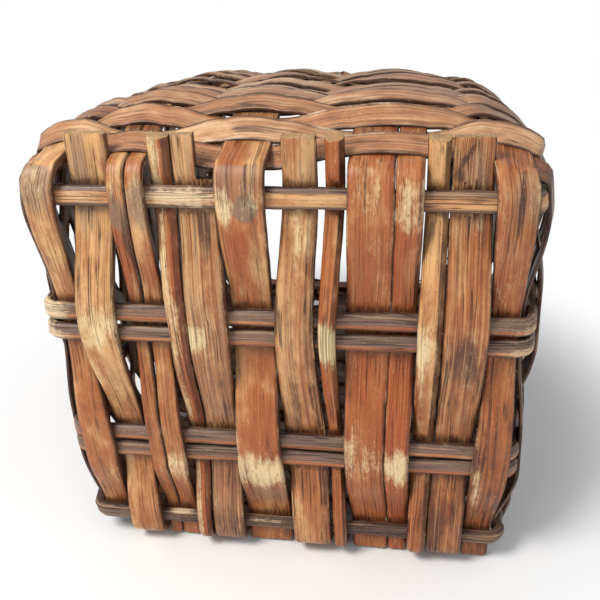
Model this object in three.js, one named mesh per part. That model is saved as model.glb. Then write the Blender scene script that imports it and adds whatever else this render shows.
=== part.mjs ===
import * as THREE from "three";

// A rough splint basket lying on one wall, its open mouth turned to +Y and its base to -Y.
// All sizes are in millimetres. X runs along the base, Z is up, Y is the basket's own height.

// Splints
const staveThick = 6;
const rodWide = 14;
const rodThick = 9;
const weaverThick = 2.6;
const clearance = 0.4;
const edgeMargin = 2;
const buttGap = 0.4;

// Basket walls, measured to the middle of the stakes. The side walls bulge, the top wall rises
// from a low edge at the base, and the lower wall lies flat on the floor before it draws in.
const baseHalfWidth = 203;
const baseHalfHeight = 198.5;
const mouthHalfWidth = 152;
const mouthHalfHeight = 143;
const mouthDepth = 432;
const sideBulge = 9;
const sideBulgeDepth = 225;
const topRise = 2;
const topEdgeDrop = 18.5;
const topCrownDepth = 95;
const topSag = 13.5;
const floorEdgeDrop = 6;
const floorEdgeDepth = 60;
const drawStart = 200;
const cutEndRise = 4.5;
const baseSquareness = 14;
const wallSquareness = 6.5;
const sideCrowding = 0.915;
const mouthCrowding = 0.93;
const mouthStaveWidth = 0.86;
const cornerShare = 0.885;
const floorToCentre = baseHalfHeight + staveThick / 2 + clearance + weaverThick;

// Rows of weaving, counted from the base
const rowCount = 20;
const rowGap = 2.6;
const firstRowRoom = 2.4;
const lastRowRoom = 3.94;
const firstOverSide = 1;

// Rim
const hoopThick = 6;
const rimHeight = 17.4;
const stakeEndBelowRim = 2;
const lashWide = 5;
const lashThick = 1.4;
const lashClearance = 0.8;
const lashUnderGap = 1.1;
const lashPerStep = 22;

// Base corners
const bendRadius = 11.5;
const rollRadius = 12;
const bendSteps = 3;
const cornerSteps = 2;
const cornerReach = 0.8;

// The places below are for a base 203 mm to each side and 198.5 mm up and down from its middle,
// and keep their shares of it when the base changes.
const acrossUnit = baseHalfWidth / 203;
const upUnit = baseHalfHeight / 198.5;

// Heights of the rods from the middle of the base, as single rods or pairs
const rodRows = {
  A: [154.5],
  B: [49, 29],
  C: [-77.5, -95.2],
  D: [-175],
};
const brokenLength = 36;

// Each stave: its edges from the middle of the base at rows A, B, C and D.
// Front-first staves pass over rows A and C, the others over rows B and D.
const staveGroups = [
  {
    overFirst: true,
    staves: [{ name: "stave_01", edges: { A: [-200, -173], B: [-193, -175], C: [-188, -157], D: [-185, -161] } }],
  },
  {
    overFirst: false,
    staves: [{ name: "stave_02", edges: { A: [-163, -128.8], B: [-173, -139], C: [-157, -130.5], D: [-154, -122] } }],
  },
  {
    overFirst: true,
    staves: [
      { name: "stave_03", edges: { A: [-128, -113.3], B: [-130, -118.7], C: [-124.4, -110], D: [-120.6, -108.7] } },
      { name: "stave_04", edges: { A: [-112.7, -98.6], B: [-116, -98], C: [-109.3, -91.2], D: [-108.2, -92.2] } },
    ],
  },
  {
    overFirst: false,
    staves: [
      { name: "stave_05", edges: { A: [-96.4, -78.3], B: [-92.4, -75.7], C: [-89.2, -73.7], D: [-86.8, -72.3] } },
      {
        name: "stave_06",
        edges: { A: [-77.6, -45.5], B: [-75, -40.5], C: [-72.9, -43.9], D: [-70.9, -41.6] },
        brokenShare: 0.56,
      },
    ],
  },
  {
    overFirst: true,
    staves: [{ name: "stave_07", edges: { A: [-43, -3.5], B: [-40, -5], C: [-43, -2], D: [-40.6, 2] } }],
  },
  {
    overFirst: false,
    staves: [
      { name: "stave_08", edges: { A: [8, 35], B: [-2.5, 30], C: [0.5, 37], D: [6, 41] } },
      { name: "stave_09", edges: { A: [41, 56], B: [33.5, 48], C: [40, 51], D: [43.5, 56] } },
    ],
  },
  {
    overFirst: true,
    staves: [
      { name: "stave_10", edges: { A: [59, 94], B: [55, 91.5], C: [53.5, 88], D: [60, 92] } },
      { name: "stave_11", edges: { A: [96, 114], B: [93.5, 111.5], C: [91.5, 110], D: [94.5, 110] } },
    ],
  },
  {
    overFirst: false,
    staves: [
      { name: "stave_12", edges: { A: [119, 134], B: [115.7, 134.2], C: [114, 130], D: [112, 127] } },
      { name: "stave_13", edges: { A: [136, 164.4], B: [134.9, 170], C: [132, 163], D: [130, 159] } },
    ],
  },
  {
    overFirst: true,
    staves: [{ name: "stave_14", edges: { A: [171, 200], B: [174, 193], C: [165.5, 197], D: [162, 184.5] } }],
  },
];

// Distance from a rod's middle plane to that of a stave that crosses it
const crossing = (rodThick + staveThick) / 2 + clearance;
const rimStart = mouthDepth - rimHeight;
const stakeEnd = mouthDepth - stakeEndBelowRim;
const cutEndHeight = floorToCentre + baseHalfHeight + cutEndRise;
const stubEndHeight = floorToCentre - baseHalfHeight - staveThick / 2;

// The rows fill the wall between the cut ends of the staves and the rim. Each turn climbs to
// the next row in equal steps, one for each stake of the bottom wall and one to the left wall.
const climbSteps = staveGroups.filter((group) => !group.overFirst).length + 1;
const rowsStart = crossing + staveThick / 2 + firstRowRoom;
const rowsEnd = rimStart - lastRowRoom;
const rowPitch = (rowsEnd - rowsStart + rowGap) / (rowCount + 1 / climbSteps);
const weaverWide = rowPitch - rowGap;
const firstRowDepth = rowsStart + weaverWide / 2;

const mix = (from, to, share) => from + (to - from) * share;

// A flat vector in the plane of one row: across the base and up.
const flat = (x, z) => new THREE.Vector2(x, z);

// A smooth rise from 0 to 1.
function ease(share) {
  const held = Math.min(1, Math.max(0, share));
  return held * held * (3 - 2 * held);
}

// The wall's half sizes at a given depth from the base.
function wallSize(depth) {
  const swell = Math.sin(Math.PI * Math.min(1, Math.max(0, depth / sideBulgeDepth)));
  const drawn = Math.max(0, (depth - drawStart) / (mouthDepth - drawStart)) ** 1.6;
  const crown = ease(depth / topCrownDepth);
  const sag = ease((depth - topCrownDepth) / (drawStart - topCrownDepth));
  const topHalf = baseHalfHeight + topRise - topEdgeDrop * (1 - crown) - topSag * sag;
  const floorHalf = baseHalfHeight - floorEdgeDrop * (1 - ease(depth / floorEdgeDepth));
  return {
    halfWidth: mix(baseHalfWidth + sideBulge * swell, mouthHalfWidth, drawn),
    topHalf: mix(topHalf, mouthHalfHeight, drawn),
    floorHalf: mix(floorHalf, mouthHalfHeight, drawn),
    squareness: mix(baseSquareness, wallSquareness, crown),
    crown,
    drawn,
  };
}

// The point of the wall on one side, with its directions. Place is the distance from the middle
// of that side, at the base; it shrinks with the wall towards the mouth, and the stakes of the
// side walls draw a little together behind the base.
function wallFrame(side, place, depth) {
  const { halfWidth, topHalf, floorHalf, squareness, crown, drawn } = wallSize(depth);
  const upright = side === "top" || side === "bottom";
  const sign = side === "top" || side === "right" ? 1 : -1;
  const above = upright ? sign > 0 : place > 0;
  const halfHeight = above ? topHalf : floorHalf;
  const [baseHalf, mouthHalf] = upright
    ? [baseHalfWidth, mouthHalfWidth]
    : [baseHalfHeight, mouthHalfHeight];
  const gathered = upright ? 1 : mix(1, sideCrowding, crown);
  const held = place * gathered * mix(1, (mouthHalf / baseHalf) * mouthCrowding, drawn);
  const share = held / (upright ? halfWidth : halfHeight);
  const far = (1 - Math.abs(share) ** squareness) ** (1 / squareness);
  const across = upright ? share : sign * far;
  const up = upright ? sign * far : share;
  const steep = (value) => Math.sign(value) * Math.abs(value) ** (squareness - 1);
  const outward = flat(steep(across) / halfWidth, steep(up) / halfHeight).normalize();
  return {
    depth,
    point: flat(across * halfWidth, up * halfHeight + floorToCentre),
    outward,
    onward: flat(outward.y, -outward.x),
    widthShare: mix(1, mouthStaveWidth, drawn),
  };
}

// A closed strip of four-sided sections; each section holds its corners as
// [[first edge inside, first edge outside], [second edge inside, second edge outside]].
function stripGeometry(sections) {
  const steps = sections.length - 1;
  const strip = new THREE.BoxGeometry(steps, 1, 1, steps, 1, 1);
  const places = strip.getAttribute("position");
  for (let i = 0; i < places.count; i++) {
    const section = sections[Math.round(places.getX(i) + steps / 2)];
    const edge = places.getY(i) > 0 ? 1 : 0;
    const face = places.getZ(i) > 0 ? 1 : 0;
    places.setXYZ(i, ...section[edge][face].toArray());
  }
  strip.computeVertexNormals();
  return strip;
}

// A closed six-sided bar through sections of centre, wide direction and outward direction.
function rodGeometry(sections, wide, thick) {
  const steps = sections.length - 1;
  const bar = new THREE.CylinderGeometry(1, 1, steps, 6, steps);
  const places = bar.getAttribute("position");
  const flatReach = Math.sin(Math.PI / 3);
  for (let i = 0; i < places.count; i++) {
    const section = sections[Math.round(steps / 2 - places.getY(i))];
    const across = (-places.getZ(i) * wide) / 2;
    const outwards = (places.getX(i) * thick) / 2 / flatReach;
    const corner = section.centre
      .clone()
      .addScaledVector(section.wide, across)
      .addScaledVector(section.outward, outwards);
    places.setXYZ(i, corner.x, corner.y, corner.z);
  }
  bar.computeVertexNormals();
  return bar;
}

// A stake is what one turn of weaving passes over or under: one splint or a close pair.
class Stake {
  constructor(side, from, to, thick, climb) {
    this.side = side;
    this.middle = (from + to) / 2;
    this.half = Math.abs(to - from) / 2;
    this.thick = thick;
    this.climb = climb;
    const upright = side === "top" || side === "bottom";
    const furthest = cornerShare * baseHalfWidth;
    this.place = upright
      ? Math.min(furthest, Math.max(-furthest, this.middle))
      : this.middle - floorToCentre;
    this.direction = side === "top" || side === "left" ? 1 : -1;
    this.knots = this.knotDepths().map((depth) => wallFrame(side, this.place, depth));
  }

  // The stake is straight between these depths, which lie between rows of weaving.
  knotDepths() {
    const rowStart = firstRowDepth - rowPitch / 2;
    const depths = [];
    for (let row = 0; row <= rowCount; row += 1) depths.push(rowStart + rowPitch * (row + this.climb));
    const inside = depths.filter((depth) => depth < stakeEnd - rowPitch / 2);
    return [...inside, stakeEnd];
  }

  // The stake's middle and directions at any depth, on its straight pieces.
  frame(depth) {
    const knots = this.knots;
    let i = 0;
    while (i < knots.length - 2 && depth > knots[i + 1].depth) i += 1;
    const share = (depth - knots[i].depth) / (knots[i + 1].depth - knots[i].depth);
    const outward = knots[i].outward.clone().lerp(knots[i + 1].outward, share);
    const onward = knots[i].onward.clone().lerp(knots[i + 1].onward, share);
    return {
      depth,
      point: knots[i].point.clone().lerp(knots[i + 1].point, share),
      outward,
      onward,
      widthShare: mix(knots[i].widthShare, knots[i + 1].widthShare, share),
    };
  }

  // How far along the ring from the stake's middle a place on the base lies.
  offsetOf(place) {
    return (place - this.middle) * this.direction;
  }
}

// A stave's edges where it crosses a row.
const edgesAt = (stave, row) => stave.edges[row].map((edge) => edge * acrossUnit);

// The outermost edges of a group of staves at one row.
function groupEdges(group, row) {
  const edges = group.staves.flatMap((stave) => edgesAt(stave, row));
  return [Math.min(...edges), Math.max(...edges)];
}

const rodHeights = (row) => rodRows[row].map((height) => floorToCentre + height * upUnit);

const rowEdges = (row) => {
  const half = rodWide / 2;
  return [Math.min(...rodHeights(row)) - half, Math.max(...rodHeights(row)) + half];
};

// Stakes in the order that the weaving meets them: up the left wall, over the top, down the
// right wall and back along the bottom, where each turn climbs to the next row.
const rowNames = Object.keys(rodRows);
const leftStakes = [...rowNames].reverse().map((row) => new Stake("left", ...rowEdges(row), rodThick, 0));
const rightStakes = rowNames.map((row) => new Stake("right", ...rowEdges(row), rodThick, 0));
const topGroups = staveGroups.filter((group) => group.overFirst);
const bottomGroups = staveGroups.filter((group) => !group.overFirst).reverse();
const topStakes = topGroups.map((group) => new Stake("top", ...groupEdges(group, "A"), staveThick, 0));
const bottomStakes = bottomGroups.map((group, i) => {
  return new Stake("bottom", ...groupEdges(group, "D"), staveThick, (i + 1) / climbSteps);
});
const stakes = [...leftStakes, ...topStakes, ...rightStakes, ...bottomStakes];

const inPlane = (point, depth) => new THREE.Vector3(point.x, depth, point.y);

// The two places where a strip meets and leaves a stake, at one depth.
function stakeSpan(stake, depth, side, thick) {
  const frame = stake.frame(depth);
  const reach = stake.half * frame.widthShare + edgeMargin;
  const lift = side * ((stake.thick + thick) / 2 + clearance);
  const middle = frame.point.clone().addScaledVector(frame.outward, lift);
  return {
    stake,
    frame,
    first: middle.clone().addScaledVector(frame.onward, -reach),
    middle,
    last: middle.clone().addScaledVector(frame.onward, reach),
  };
}

// Points that round the corner between stakes of two walls; straight runs get none.
function cornerPoints(from, to, count) {
  if (from.stake.side === to.stake.side) return [];
  const start = from.last;
  const end = to.first;
  const [a, b] = [from.frame.onward, to.frame.onward];
  const gap = end.clone().sub(start);
  const reach = gap.cross(b) / a.cross(b) / gap.length();
  const held = Math.min(cornerReach, Math.max(1 - cornerReach, reach));
  const control = start.clone().addScaledVector(a, held * gap.length());
  const points = [];
  for (let i = 1; i <= count; i++) {
    const share = i / (count + 1);
    const point = start
      .clone()
      .lerp(control, share)
      .lerp(control.clone().lerp(end, share), share);
    const outward = from.frame.outward.clone().lerp(to.frame.outward, share).normalize();
    points.push({ point, outward });
  }
  return points;
}

// One edge of a strip that runs round the ring: points in the middle of its thickness.
// Visits hold the stake, the depth of this edge there, and the side that the strip passes.
function ringEdge(visits, thick) {
  const points = [];
  let last = null;
  for (const { stake, depth, side, part } of visits) {
    const span = stakeSpan(stake, depth, side, thick);
    if (last) {
      const corner = cornerPoints(last.span, span, cornerSteps);
      corner.forEach(({ point, outward }, i) => {
        const share = (i + 1) / (cornerSteps + 1);
        points.push({ point, outward, depth: mix(last.depth, depth, share) });
      });
    }
    const { outward, onward } = span.frame;
    const shift = onward.clone().multiplyScalar(buttGap / 2);
    if (part === "start") points.push({ point: span.middle.clone().add(shift), outward, depth });
    else points.push({ point: span.first, outward, depth });
    if (part === "end") points.push({ point: span.middle.clone().sub(shift), outward, depth });
    else points.push({ point: span.last, outward, depth });
    last = { span, depth };
  }
  return points;
}

// The corners of a strip's sections from the two lines of its edges.
function ringSections(lowEdge, highEdge, thick) {
  const corners = ({ point, outward, depth }) => {
    const half = thick / 2;
    return [-half, half].map((reach) => inPlane(point.clone().addScaledVector(outward, reach), depth));
  };
  return lowEdge.map((low, i) => [corners(low), corners(highEdge[i])]);
}

// Weaving: one strip for each turn, joined where it passes behind a stake.
const visitSide = (visit) => (visit % 2 === firstOverSide ? 1 : -1);

function weaverVisits(turn) {
  const count = stakes.length;
  const joint = (t) => {
    const last = t * count + count - 1;
    return visitSide(last) < 0 ? last : last - 1;
  };
  const start = turn === 0 ? 0 : joint(turn - 1);
  const end = turn === rowCount - 1 ? turn * count + count - bottomStakes.length : joint(turn);
  const visits = [];
  for (let visit = start; visit <= end; visit++) {
    const stake = stakes[visit % count];
    const row = Math.floor(visit / count) + stake.climb;
    const middle = firstRowDepth + rowPitch * row;
    const part = visit === start ? "start" : visit === end ? "end" : "whole";
    visits.push({ stake, middle, side: visitSide(visit), part });
  }
  return visits;
}

function weaverGeometry(turn) {
  const visits = weaverVisits(turn);
  const edge = (reach) => {
    const placed = visits.map((visit) => ({ ...visit, depth: visit.middle + reach }));
    return ringEdge(placed, weaverThick);
  };
  return stripGeometry(ringSections(edge(-weaverWide / 2), edge(weaverWide / 2), weaverThick));
}

// Rim hoops: one strip outside all the stakes and one inside, each cut where its ends meet.
function hoopEdges(side) {
  const order = [...stakes.slice(-2), ...stakes.slice(0, -1)];
  const edge = (depth) => {
    const visits = order.map((stake, i) => {
      const part = i === 0 ? "start" : i === order.length - 1 ? "end" : "whole";
      return { stake, depth, side, part };
    });
    return ringEdge(visits, hoopThick);
  };
  return [edge(rimStart), edge(mouthDepth)];
}

const hoopSections = (side) => ringSections(...hoopEdges(side), hoopThick);

// Lashing: one thin strip wound round both hoops, slanting over the outer hoop and
// passing straight through between the stakes under the inner one.
function lashSections(outerHoop, innerHoop) {
  const reach = lashClearance + lashThick / 2;
  const sections = [];
  const at = (hoop, place, edge, face) => {
    const i = Math.min(Math.floor(place), hoop.length - 2);
    return hoop[i][edge][face].clone().lerp(hoop[i + 1][edge][face], place - i);
  };
  const directions = (hoop, place) => {
    const i = Math.min(Math.floor(place), hoop.length - 2);
    const onward = hoop[i + 1][1][1].clone().sub(hoop[i][1][1]).setY(0).normalize();
    return { onward, outward: new THREE.Vector3(-onward.z, 0, onward.x) };
  };
  const add = (corner, onward, away, halfThick) => {
    const edge = (sign) => {
      const middle = corner.clone().addScaledVector(onward, (sign * lashWide) / 2);
      return [-halfThick, halfThick].map((r) => middle.clone().addScaledVector(away, r));
    };
    sections.push([edge(1), edge(-1)]);
  };
  const up = new THREE.Vector3(0, 1, 0);
  const halfThick = (lashThick / 2) * 1.2;
  const turn = (place, fromOutside, high) => {
    const hoop = fromOutside ? outerHoop : innerHoop;
    const { onward, outward } = directions(hoop, place);
    const sideWay = outward.clone().multiplyScalar(fromOutside ? 1 : -1);
    const corner = at(hoop, place, high ? 1 : 0, fromOutside ? 1 : 0);
    corner.addScaledVector(sideWay, reach);
    corner.addScaledVector(up, high ? reach : -lashUnderGap);
    const away = sideWay.clone().addScaledVector(up, high ? 1 : -1).normalize();
    add(corner, onward, away, halfThick);
  };
  // Slanting run over the outside of the outer hoop, bent wherever the hoop bends.
  const slant = (from, to) => {
    for (let i = Math.floor(from) + 1; i < to; i++) {
      const share = (i - from) / (to - from);
      const low = at(outerHoop, i, 0, 1);
      const high = at(outerHoop, i, 1, 1);
      const before = directions(outerHoop, i - 0.5);
      const after = directions(outerHoop, i + 0.5);
      const onward = before.onward.clone().add(after.onward).normalize();
      const outward = new THREE.Vector3(-onward.z, 0, onward.x);
      const corner = low.lerp(high, share).addScaledVector(outward, reach);
      add(corner, onward, outward, lashThick / 2);
    }
  };
  const places = lashPlaces(outerHoop);
  places.forEach((place, i) => {
    turn(place, false, true);
    turn(place, false, false);
    turn(place, true, false);
    if (i < places.length - 1) {
      slant(place, places[i + 1]);
      turn(places[i + 1], true, true);
    }
  });
  return sections;
}

// Places along the hoop between the stakes, a few in each wide gap, as section numbers.
function lashPlaces(hoop) {
  const places = [];
  let i = 1;
  while (i < hoop.length - 2) {
    let next = i + 1;
    const isCorner = (k) => hoopIsCorner[k];
    while (isCorner(next)) next += 1;
    if (next - i > 1) places.push((i + next) / 2);
    else {
      const length = hoop[i + 1][1][1].distanceTo(hoop[i][1][1]) - lashWide - 2;
      const count = Math.max(1, Math.floor(length / lashPerStep) + 1);
      const margin = (lashWide / 2 + 1) / (length + lashWide + 2);
      for (let k = 0; k < count; k++) {
        places.push(i + (count === 1 ? 0.5 : mix(margin, 1 - margin, k / (count - 1))));
      }
    }
    i = next + 1;
  }
  return places;
}

// Marks the hoop's sections that only round a corner.
const hoopIsCorner = (() => {
  const order = [...stakes.slice(-2), ...stakes.slice(0, -1)];
  const marks = [];
  order.forEach((stake, i) => {
    if (i > 0) {
      const from = stakeSpan(order[i - 1], mouthDepth, 1, hoopThick);
      const to = stakeSpan(stake, mouthDepth, 1, hoopThick);
      cornerPoints(from, to, cornerSteps).forEach(() => marks.push(true));
    }
    marks.push(false, false);
  });
  return marks;
})();

// A stave's edges at any height, straight between the rows.
function staveEdges(stave, height) {
  const rows = rowNames.map((row) => {
    const [low, high] = rowEdges(row);
    return { height: (low + high) / 2, edges: edgesAt(stave, row) };
  });
  if (height >= rows[0].height) return rows[0].edges;
  for (let i = 0; i < rows.length - 1; i++) {
    const [upper, lower] = [rows[i], rows[i + 1]];
    if (height < lower.height) continue;
    const share = (upper.height - height) / (upper.height - lower.height);
    return [0, 1].map((k) => mix(upper.edges[k], lower.edges[k], share));
  }
  return rows.at(-1).edges;
}

// A flat section of a stave in the base.
function baseSection(left, right, height, depth) {
  const faces = [depth + staveThick / 2, depth - staveThick / 2];
  return [left, right].map((x) => faces.map((y) => new THREE.Vector3(x, y, height)));
}

// A stave's section in the wall, from its stake's frame.
function wallSection(frame, from, to) {
  return [from, to].map((reach) => {
    return [-1, 1].map((face) => {
      const corner = frame.point.clone();
      corner.addScaledVector(frame.onward, reach * frame.widthShare);
      corner.addScaledVector(frame.outward, (face * staveThick) / 2);
      return inPlane(corner, frame.depth);
    });
  });
}

// The rounded fold that takes a stave from the base into a wall.
function rollSections(base, wall, up) {
  const sections = [];
  const pick = (section, share) => new THREE.Vector3().lerpVectors(section[0], section[1], share);
  for (let i = 1; i <= bendSteps; i++) {
    const angle = (i / (bendSteps + 1)) * (Math.PI / 2);
    const section = [0, 1].map((edge) => {
      const start = pick(base[edge], 0.5);
      const end = pick(wall[edge], 0.5);
      const centre = new THREE.Vector3(mix(start.x, end.x, i / (bendSteps + 1)), end.y, start.z);
      const rise = (end.z - start.z) * Math.sin(angle);
      const run = (start.y - end.y) * Math.cos(angle);
      const outward = new THREE.Vector3(0, -Math.cos(angle), up * Math.sin(angle));
      const middle = centre.add(new THREE.Vector3(0, run, rise));
      return [-1, 1].map((face) => middle.clone().addScaledVector(outward, (face * staveThick) / 2));
    });
    sections.push(section);
  }
  return sections;
}

function staveSections(stave, group, stake) {
  const sections = [];
  const front = group.overFirst;
  const brokenAbove = cutEndHeight - brokenLength;
  const place = (height, over) => {
    let [left, right] = staveEdges(stave, height);
    if (stave.brokenShare && height > brokenAbove) right = mix(left, right, stave.brokenShare);
    sections.push(baseSection(left, right, height, over ? -crossing : crossing));
  };
  const [lowRowStart, lowRowEnd] = rowEdges("D");
  const passes = { A: front, B: !front, C: front, D: !front };
  if (front) place(stubEndHeight, false);
  else place(lowRowStart - edgeMargin, true);
  place(lowRowEnd + edgeMargin, passes.D);
  for (const row of ["C", "B", "A"]) {
    const [low, high] = rowEdges(row);
    place(low - edgeMargin, passes[row]);
    place(high + edgeMargin, passes[row]);
  }
  if (stave.brokenShare) {
    place(brokenAbove - 1, false);
    place(brokenAbove + 1, false);
  }
  const reach = edgesAt(stave, front ? "A" : "D").map((edge) => stake.offsetOf(edge));
  const startFrame = wallFrame(stake.side, stake.place, -crossing + rollRadius);
  const walls = [startFrame, ...stake.knots].map((frame) => wallSection(frame, ...reach));
  if (front) {
    const rollStart = walls[0][0][0].z + walls[0][1][1].z;
    place(rollStart / 2 - rollRadius, true);
    return [...sections, ...rollSections(sections.at(-1), walls[0], 1), ...walls];
  }
  place(cutEndHeight, false);
  const roll = rollSections(sections[0], walls[0], -1).reverse();
  return [...[...walls].reverse(), ...roll, ...sections];
}

function staveGeometry(stave, group, stake) {
  return stripGeometry(staveSections(stave, group, stake).map(([left, right]) => [right, left]));
}

// A rod runs down one side wall, across the base and up the other.
function rodSections(row, height) {
  const left = leftStakes[rowNames.length - 1 - rowNames.indexOf(row)];
  const right = rightStakes[rowNames.indexOf(row)];
  const leg = (stake, sign) => {
    const start = wallFrame(stake.side, stake.place, bendRadius);
    return [start, ...stake.knots].map((frame) => {
      const middle = frame.point.clone();
      middle.addScaledVector(frame.onward, stake.offsetOf(height) * frame.widthShare);
      const wide = new THREE.Vector3(frame.onward.x, 0, frame.onward.y).multiplyScalar(sign);
      const outward = new THREE.Vector3(frame.outward.x, 0, frame.outward.y);
      return { centre: inPlane(middle, frame.depth), wide, outward };
    });
  };
  const bend = (first, sign) => {
    const sections = [];
    for (let i = 1; i <= bendSteps; i++) {
      const share = i / (bendSteps + 1);
      const angle = (share * Math.PI) / 2;
      const x = first.centre.x - sign * bendRadius * (1 - Math.cos(angle));
      const y = bendRadius * (1 - Math.sin(angle));
      const z = mix(first.centre.z, height, share);
      const outward = new THREE.Vector3(sign * Math.cos(angle), -Math.sin(angle), 0);
      const wide = first.wide.clone().lerp(new THREE.Vector3(0, 0, 1), share).normalize();
      sections.push({ centre: new THREE.Vector3(x, y, z), wide, outward });
    }
    const x = first.centre.x - sign * bendRadius;
    const wide = new THREE.Vector3(0, 0, 1);
    const outward = new THREE.Vector3(0, -1, 0);
    sections.push({ centre: new THREE.Vector3(x, 0, height), wide, outward });
    return sections;
  };
  const leftLeg = leg(left, 1);
  const rightLeg = leg(right, -1);
  const rightBend = bend(rightLeg[0], 1).reverse();
  return [...leftLeg.reverse(), ...bend(leftLeg.at(-1), -1), ...rightBend, ...rightLeg];
}

const staveWood = { color: 0x9c5f33, roughness: 0.72, metalness: 0 };
const rodWood = { color: 0x4a2f24, roughness: 0.7, metalness: 0 };
const weaverWood = { color: 0xa8714a, roughness: 0.62, metalness: 0 };
const rimWood = { color: 0x8a5634, roughness: 0.7, metalness: 0 };

const basket = new THREE.Group();
basket.name = "basket";

function addPiece(name, geometry, wood) {
  const piece = new THREE.Mesh(geometry, new THREE.MeshStandardMaterial(wood));
  piece.name = name;
  basket.add(piece);
}

for (const group of staveGroups) {
  const stake = group.overFirst
    ? topStakes[topGroups.indexOf(group)]
    : bottomStakes[bottomGroups.indexOf(group)];
  for (const stave of group.staves) addPiece(stave.name, staveGeometry(stave, group, stake), staveWood);
}

let rodNumber = 0;
for (const row of rowNames) {
  for (const height of rodHeights(row)) {
    rodNumber += 1;
    addPiece(`rod_0${rodNumber}`, rodGeometry(rodSections(row, height), rodWide, rodThick), rodWood);
  }
}

for (let turn = 0; turn < rowCount; turn++) {
  const number = String(turn + 1).padStart(2, "0");
  addPiece(`weaver_${number}`, weaverGeometry(turn), weaverWood);
}

const outerHoop = hoopSections(1);
const innerHoop = hoopSections(-1);
addPiece("rim_outer_hoop", stripGeometry(outerHoop), rimWood);
addPiece("rim_inner_hoop", stripGeometry(innerHoop), rimWood);
addPiece("rim_lashing", stripGeometry(lashSections(outerHoop, innerHoop)), weaverWood);

// The middle of the bounding box stands over the origin and the lowest face on Z = 0.
const size = new THREE.Box3().setFromObject(basket);
const middle = size.getCenter(new THREE.Vector3());
basket.position.set(-middle.x, -middle.y, -size.min.z);

const part = new THREE.Group();
part.name = "splint_basket";
part.add(basket);

export default part;
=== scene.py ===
"""Visual scene of a rough splint basket that lies on one wall with its base to the camera."""

import logging
import math
from collections.abc import Iterable
from dataclasses import astuple, dataclass, field, replace
from enum import Enum

import bmesh
import bpy
from mathutils import Matrix, Vector, noise


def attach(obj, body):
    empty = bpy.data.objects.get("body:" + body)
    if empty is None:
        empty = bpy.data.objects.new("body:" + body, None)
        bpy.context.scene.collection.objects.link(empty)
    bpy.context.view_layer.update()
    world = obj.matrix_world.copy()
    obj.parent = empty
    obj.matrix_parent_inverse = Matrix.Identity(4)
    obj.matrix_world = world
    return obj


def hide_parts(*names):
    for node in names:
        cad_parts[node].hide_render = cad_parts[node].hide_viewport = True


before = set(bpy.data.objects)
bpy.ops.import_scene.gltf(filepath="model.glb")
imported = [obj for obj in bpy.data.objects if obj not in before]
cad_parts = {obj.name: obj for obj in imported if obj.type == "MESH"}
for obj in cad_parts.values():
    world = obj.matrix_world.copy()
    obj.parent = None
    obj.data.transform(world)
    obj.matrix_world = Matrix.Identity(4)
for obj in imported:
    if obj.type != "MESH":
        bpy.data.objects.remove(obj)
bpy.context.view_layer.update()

# Splints, in metres. X runs along the base, Z is up, Y is the basket's own height.
STAVE_THICK = 0.006
ROD_WIDE = 0.014
ROD_THICK = 0.009
WEAVER_THICK = 0.0026
HOOP_THICK = 0.006
CLEARANCE = 0.0004
EDGE_MARGIN = 0.002
BUTT_GAP = 0.0004
CROSSING = (ROD_THICK + STAVE_THICK) / 2 + CLEARANCE

# Base corners, bends at the rows, the rim, and the cut ends with their size beside the rest
BEND_SOFTENING = 0.014
BEND_RADIUS = 0.0115
ROLL_RADIUS = 0.012
RIM_HEIGHT = 0.0174
STAKE_END_BELOW_RIM = 0.002
CORNER_SHARE = 0.885
CUT_END_RISE = 0.0045
STUB_END_DROP = 0.003
END_WIDTH = 0.96
END_THICKNESS = 0.9

# The staves change from their upper look to their lower one from this height over this reach
LOOK_TOP = 0.36
LOOK_REACH = 0.29

# Painted shade with some soiling, and abrasion, along the edges of every splint: how strong, and from where
# across it
EDGE_SHADE_AND_GRIME = 0.85
EDGE_SHADE_START = 0.84
EDGE_SHADE_REACH = 0.16
EDGE_WEAR = 0.75
FLAKING_SHARE = 0.35

# A point of an outline this far across or through lies on an edge or on a face
FACE_EDGE = 0.9
BACK_FACE = -0.5

# How far the tone of the wood drifts along a splint
LIGHT_DRIFT = 0.22
RED_DRIFT = 0.25

# A patch is solid up to this share of its reach and fades over the next; its place gives its seed
PATCH_SOLID = 0.4
PATCH_FADE = 1.1
PATCH_SEED = 50

# How noise and grain differ from seed to seed
SEED_SPACING = 3.17
GRAIN_SHIFT_ALONG = 1.7
GRAIN_SHIFT_ACROSS = 0.31

# Distance on either side at which a wall's slope is taken, and how far a broken edge is rounded
SLOPE_REACH = 0.006
TRIM_ROUNDING = 0.0004

# Where the basket stands in the shared frame, and the base's directions as it lies
LAID = Vector((0.0, -0.2116, 0.00048))
RIGHTWARDS = Vector((1, 0, 0))
UPWARDS = Vector((0, 0, 1))
FORWARDS = Vector((0, -1, 0))

log = logging.getLogger("basket")

Socket = bpy.types.NodeSocket
Colour = tuple[float, float, float, float]


class WallSide(Enum):
    """The four walls, named as the basket lies."""

    LEFT = "left"
    TOP = "top"
    RIGHT = "right"
    BOTTOM = "bottom"

    @property
    def sign(self) -> int:
        """Return 1 where the wall lies on the positive side of X or Z."""
        return 1 if self in (WallSide.TOP, WallSide.RIGHT) else -1

    @property
    def level(self) -> bool:
        """Return True for the top and the bottom wall."""
        return self in (WallSide.TOP, WallSide.BOTTOM)

    @property
    def direction(self) -> int:
        """Return 1 where the ring of weaving runs towards positive X or Z."""
        return 1 if self in (WallSide.TOP, WallSide.LEFT) else -1


class Mark(Enum):
    """What a patch does to the wood, as the channel that it fills."""

    # Paler rubbed wood; on the rods it also paints glints, a painted highlight
    WEAR_AND_HIGHLIGHT = 0
    GREY = 1
    BARK = 2
    DARK = 3
    RED = 4


def mix(start: float, end: float, share: float) -> float:
    """Blend two numbers.

    Args:
        start: Value at share 0.
        end: Value at share 1.
        share: Place between them.

    Returns:
        The blended value.
    """
    return start + (end - start) * share


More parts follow.
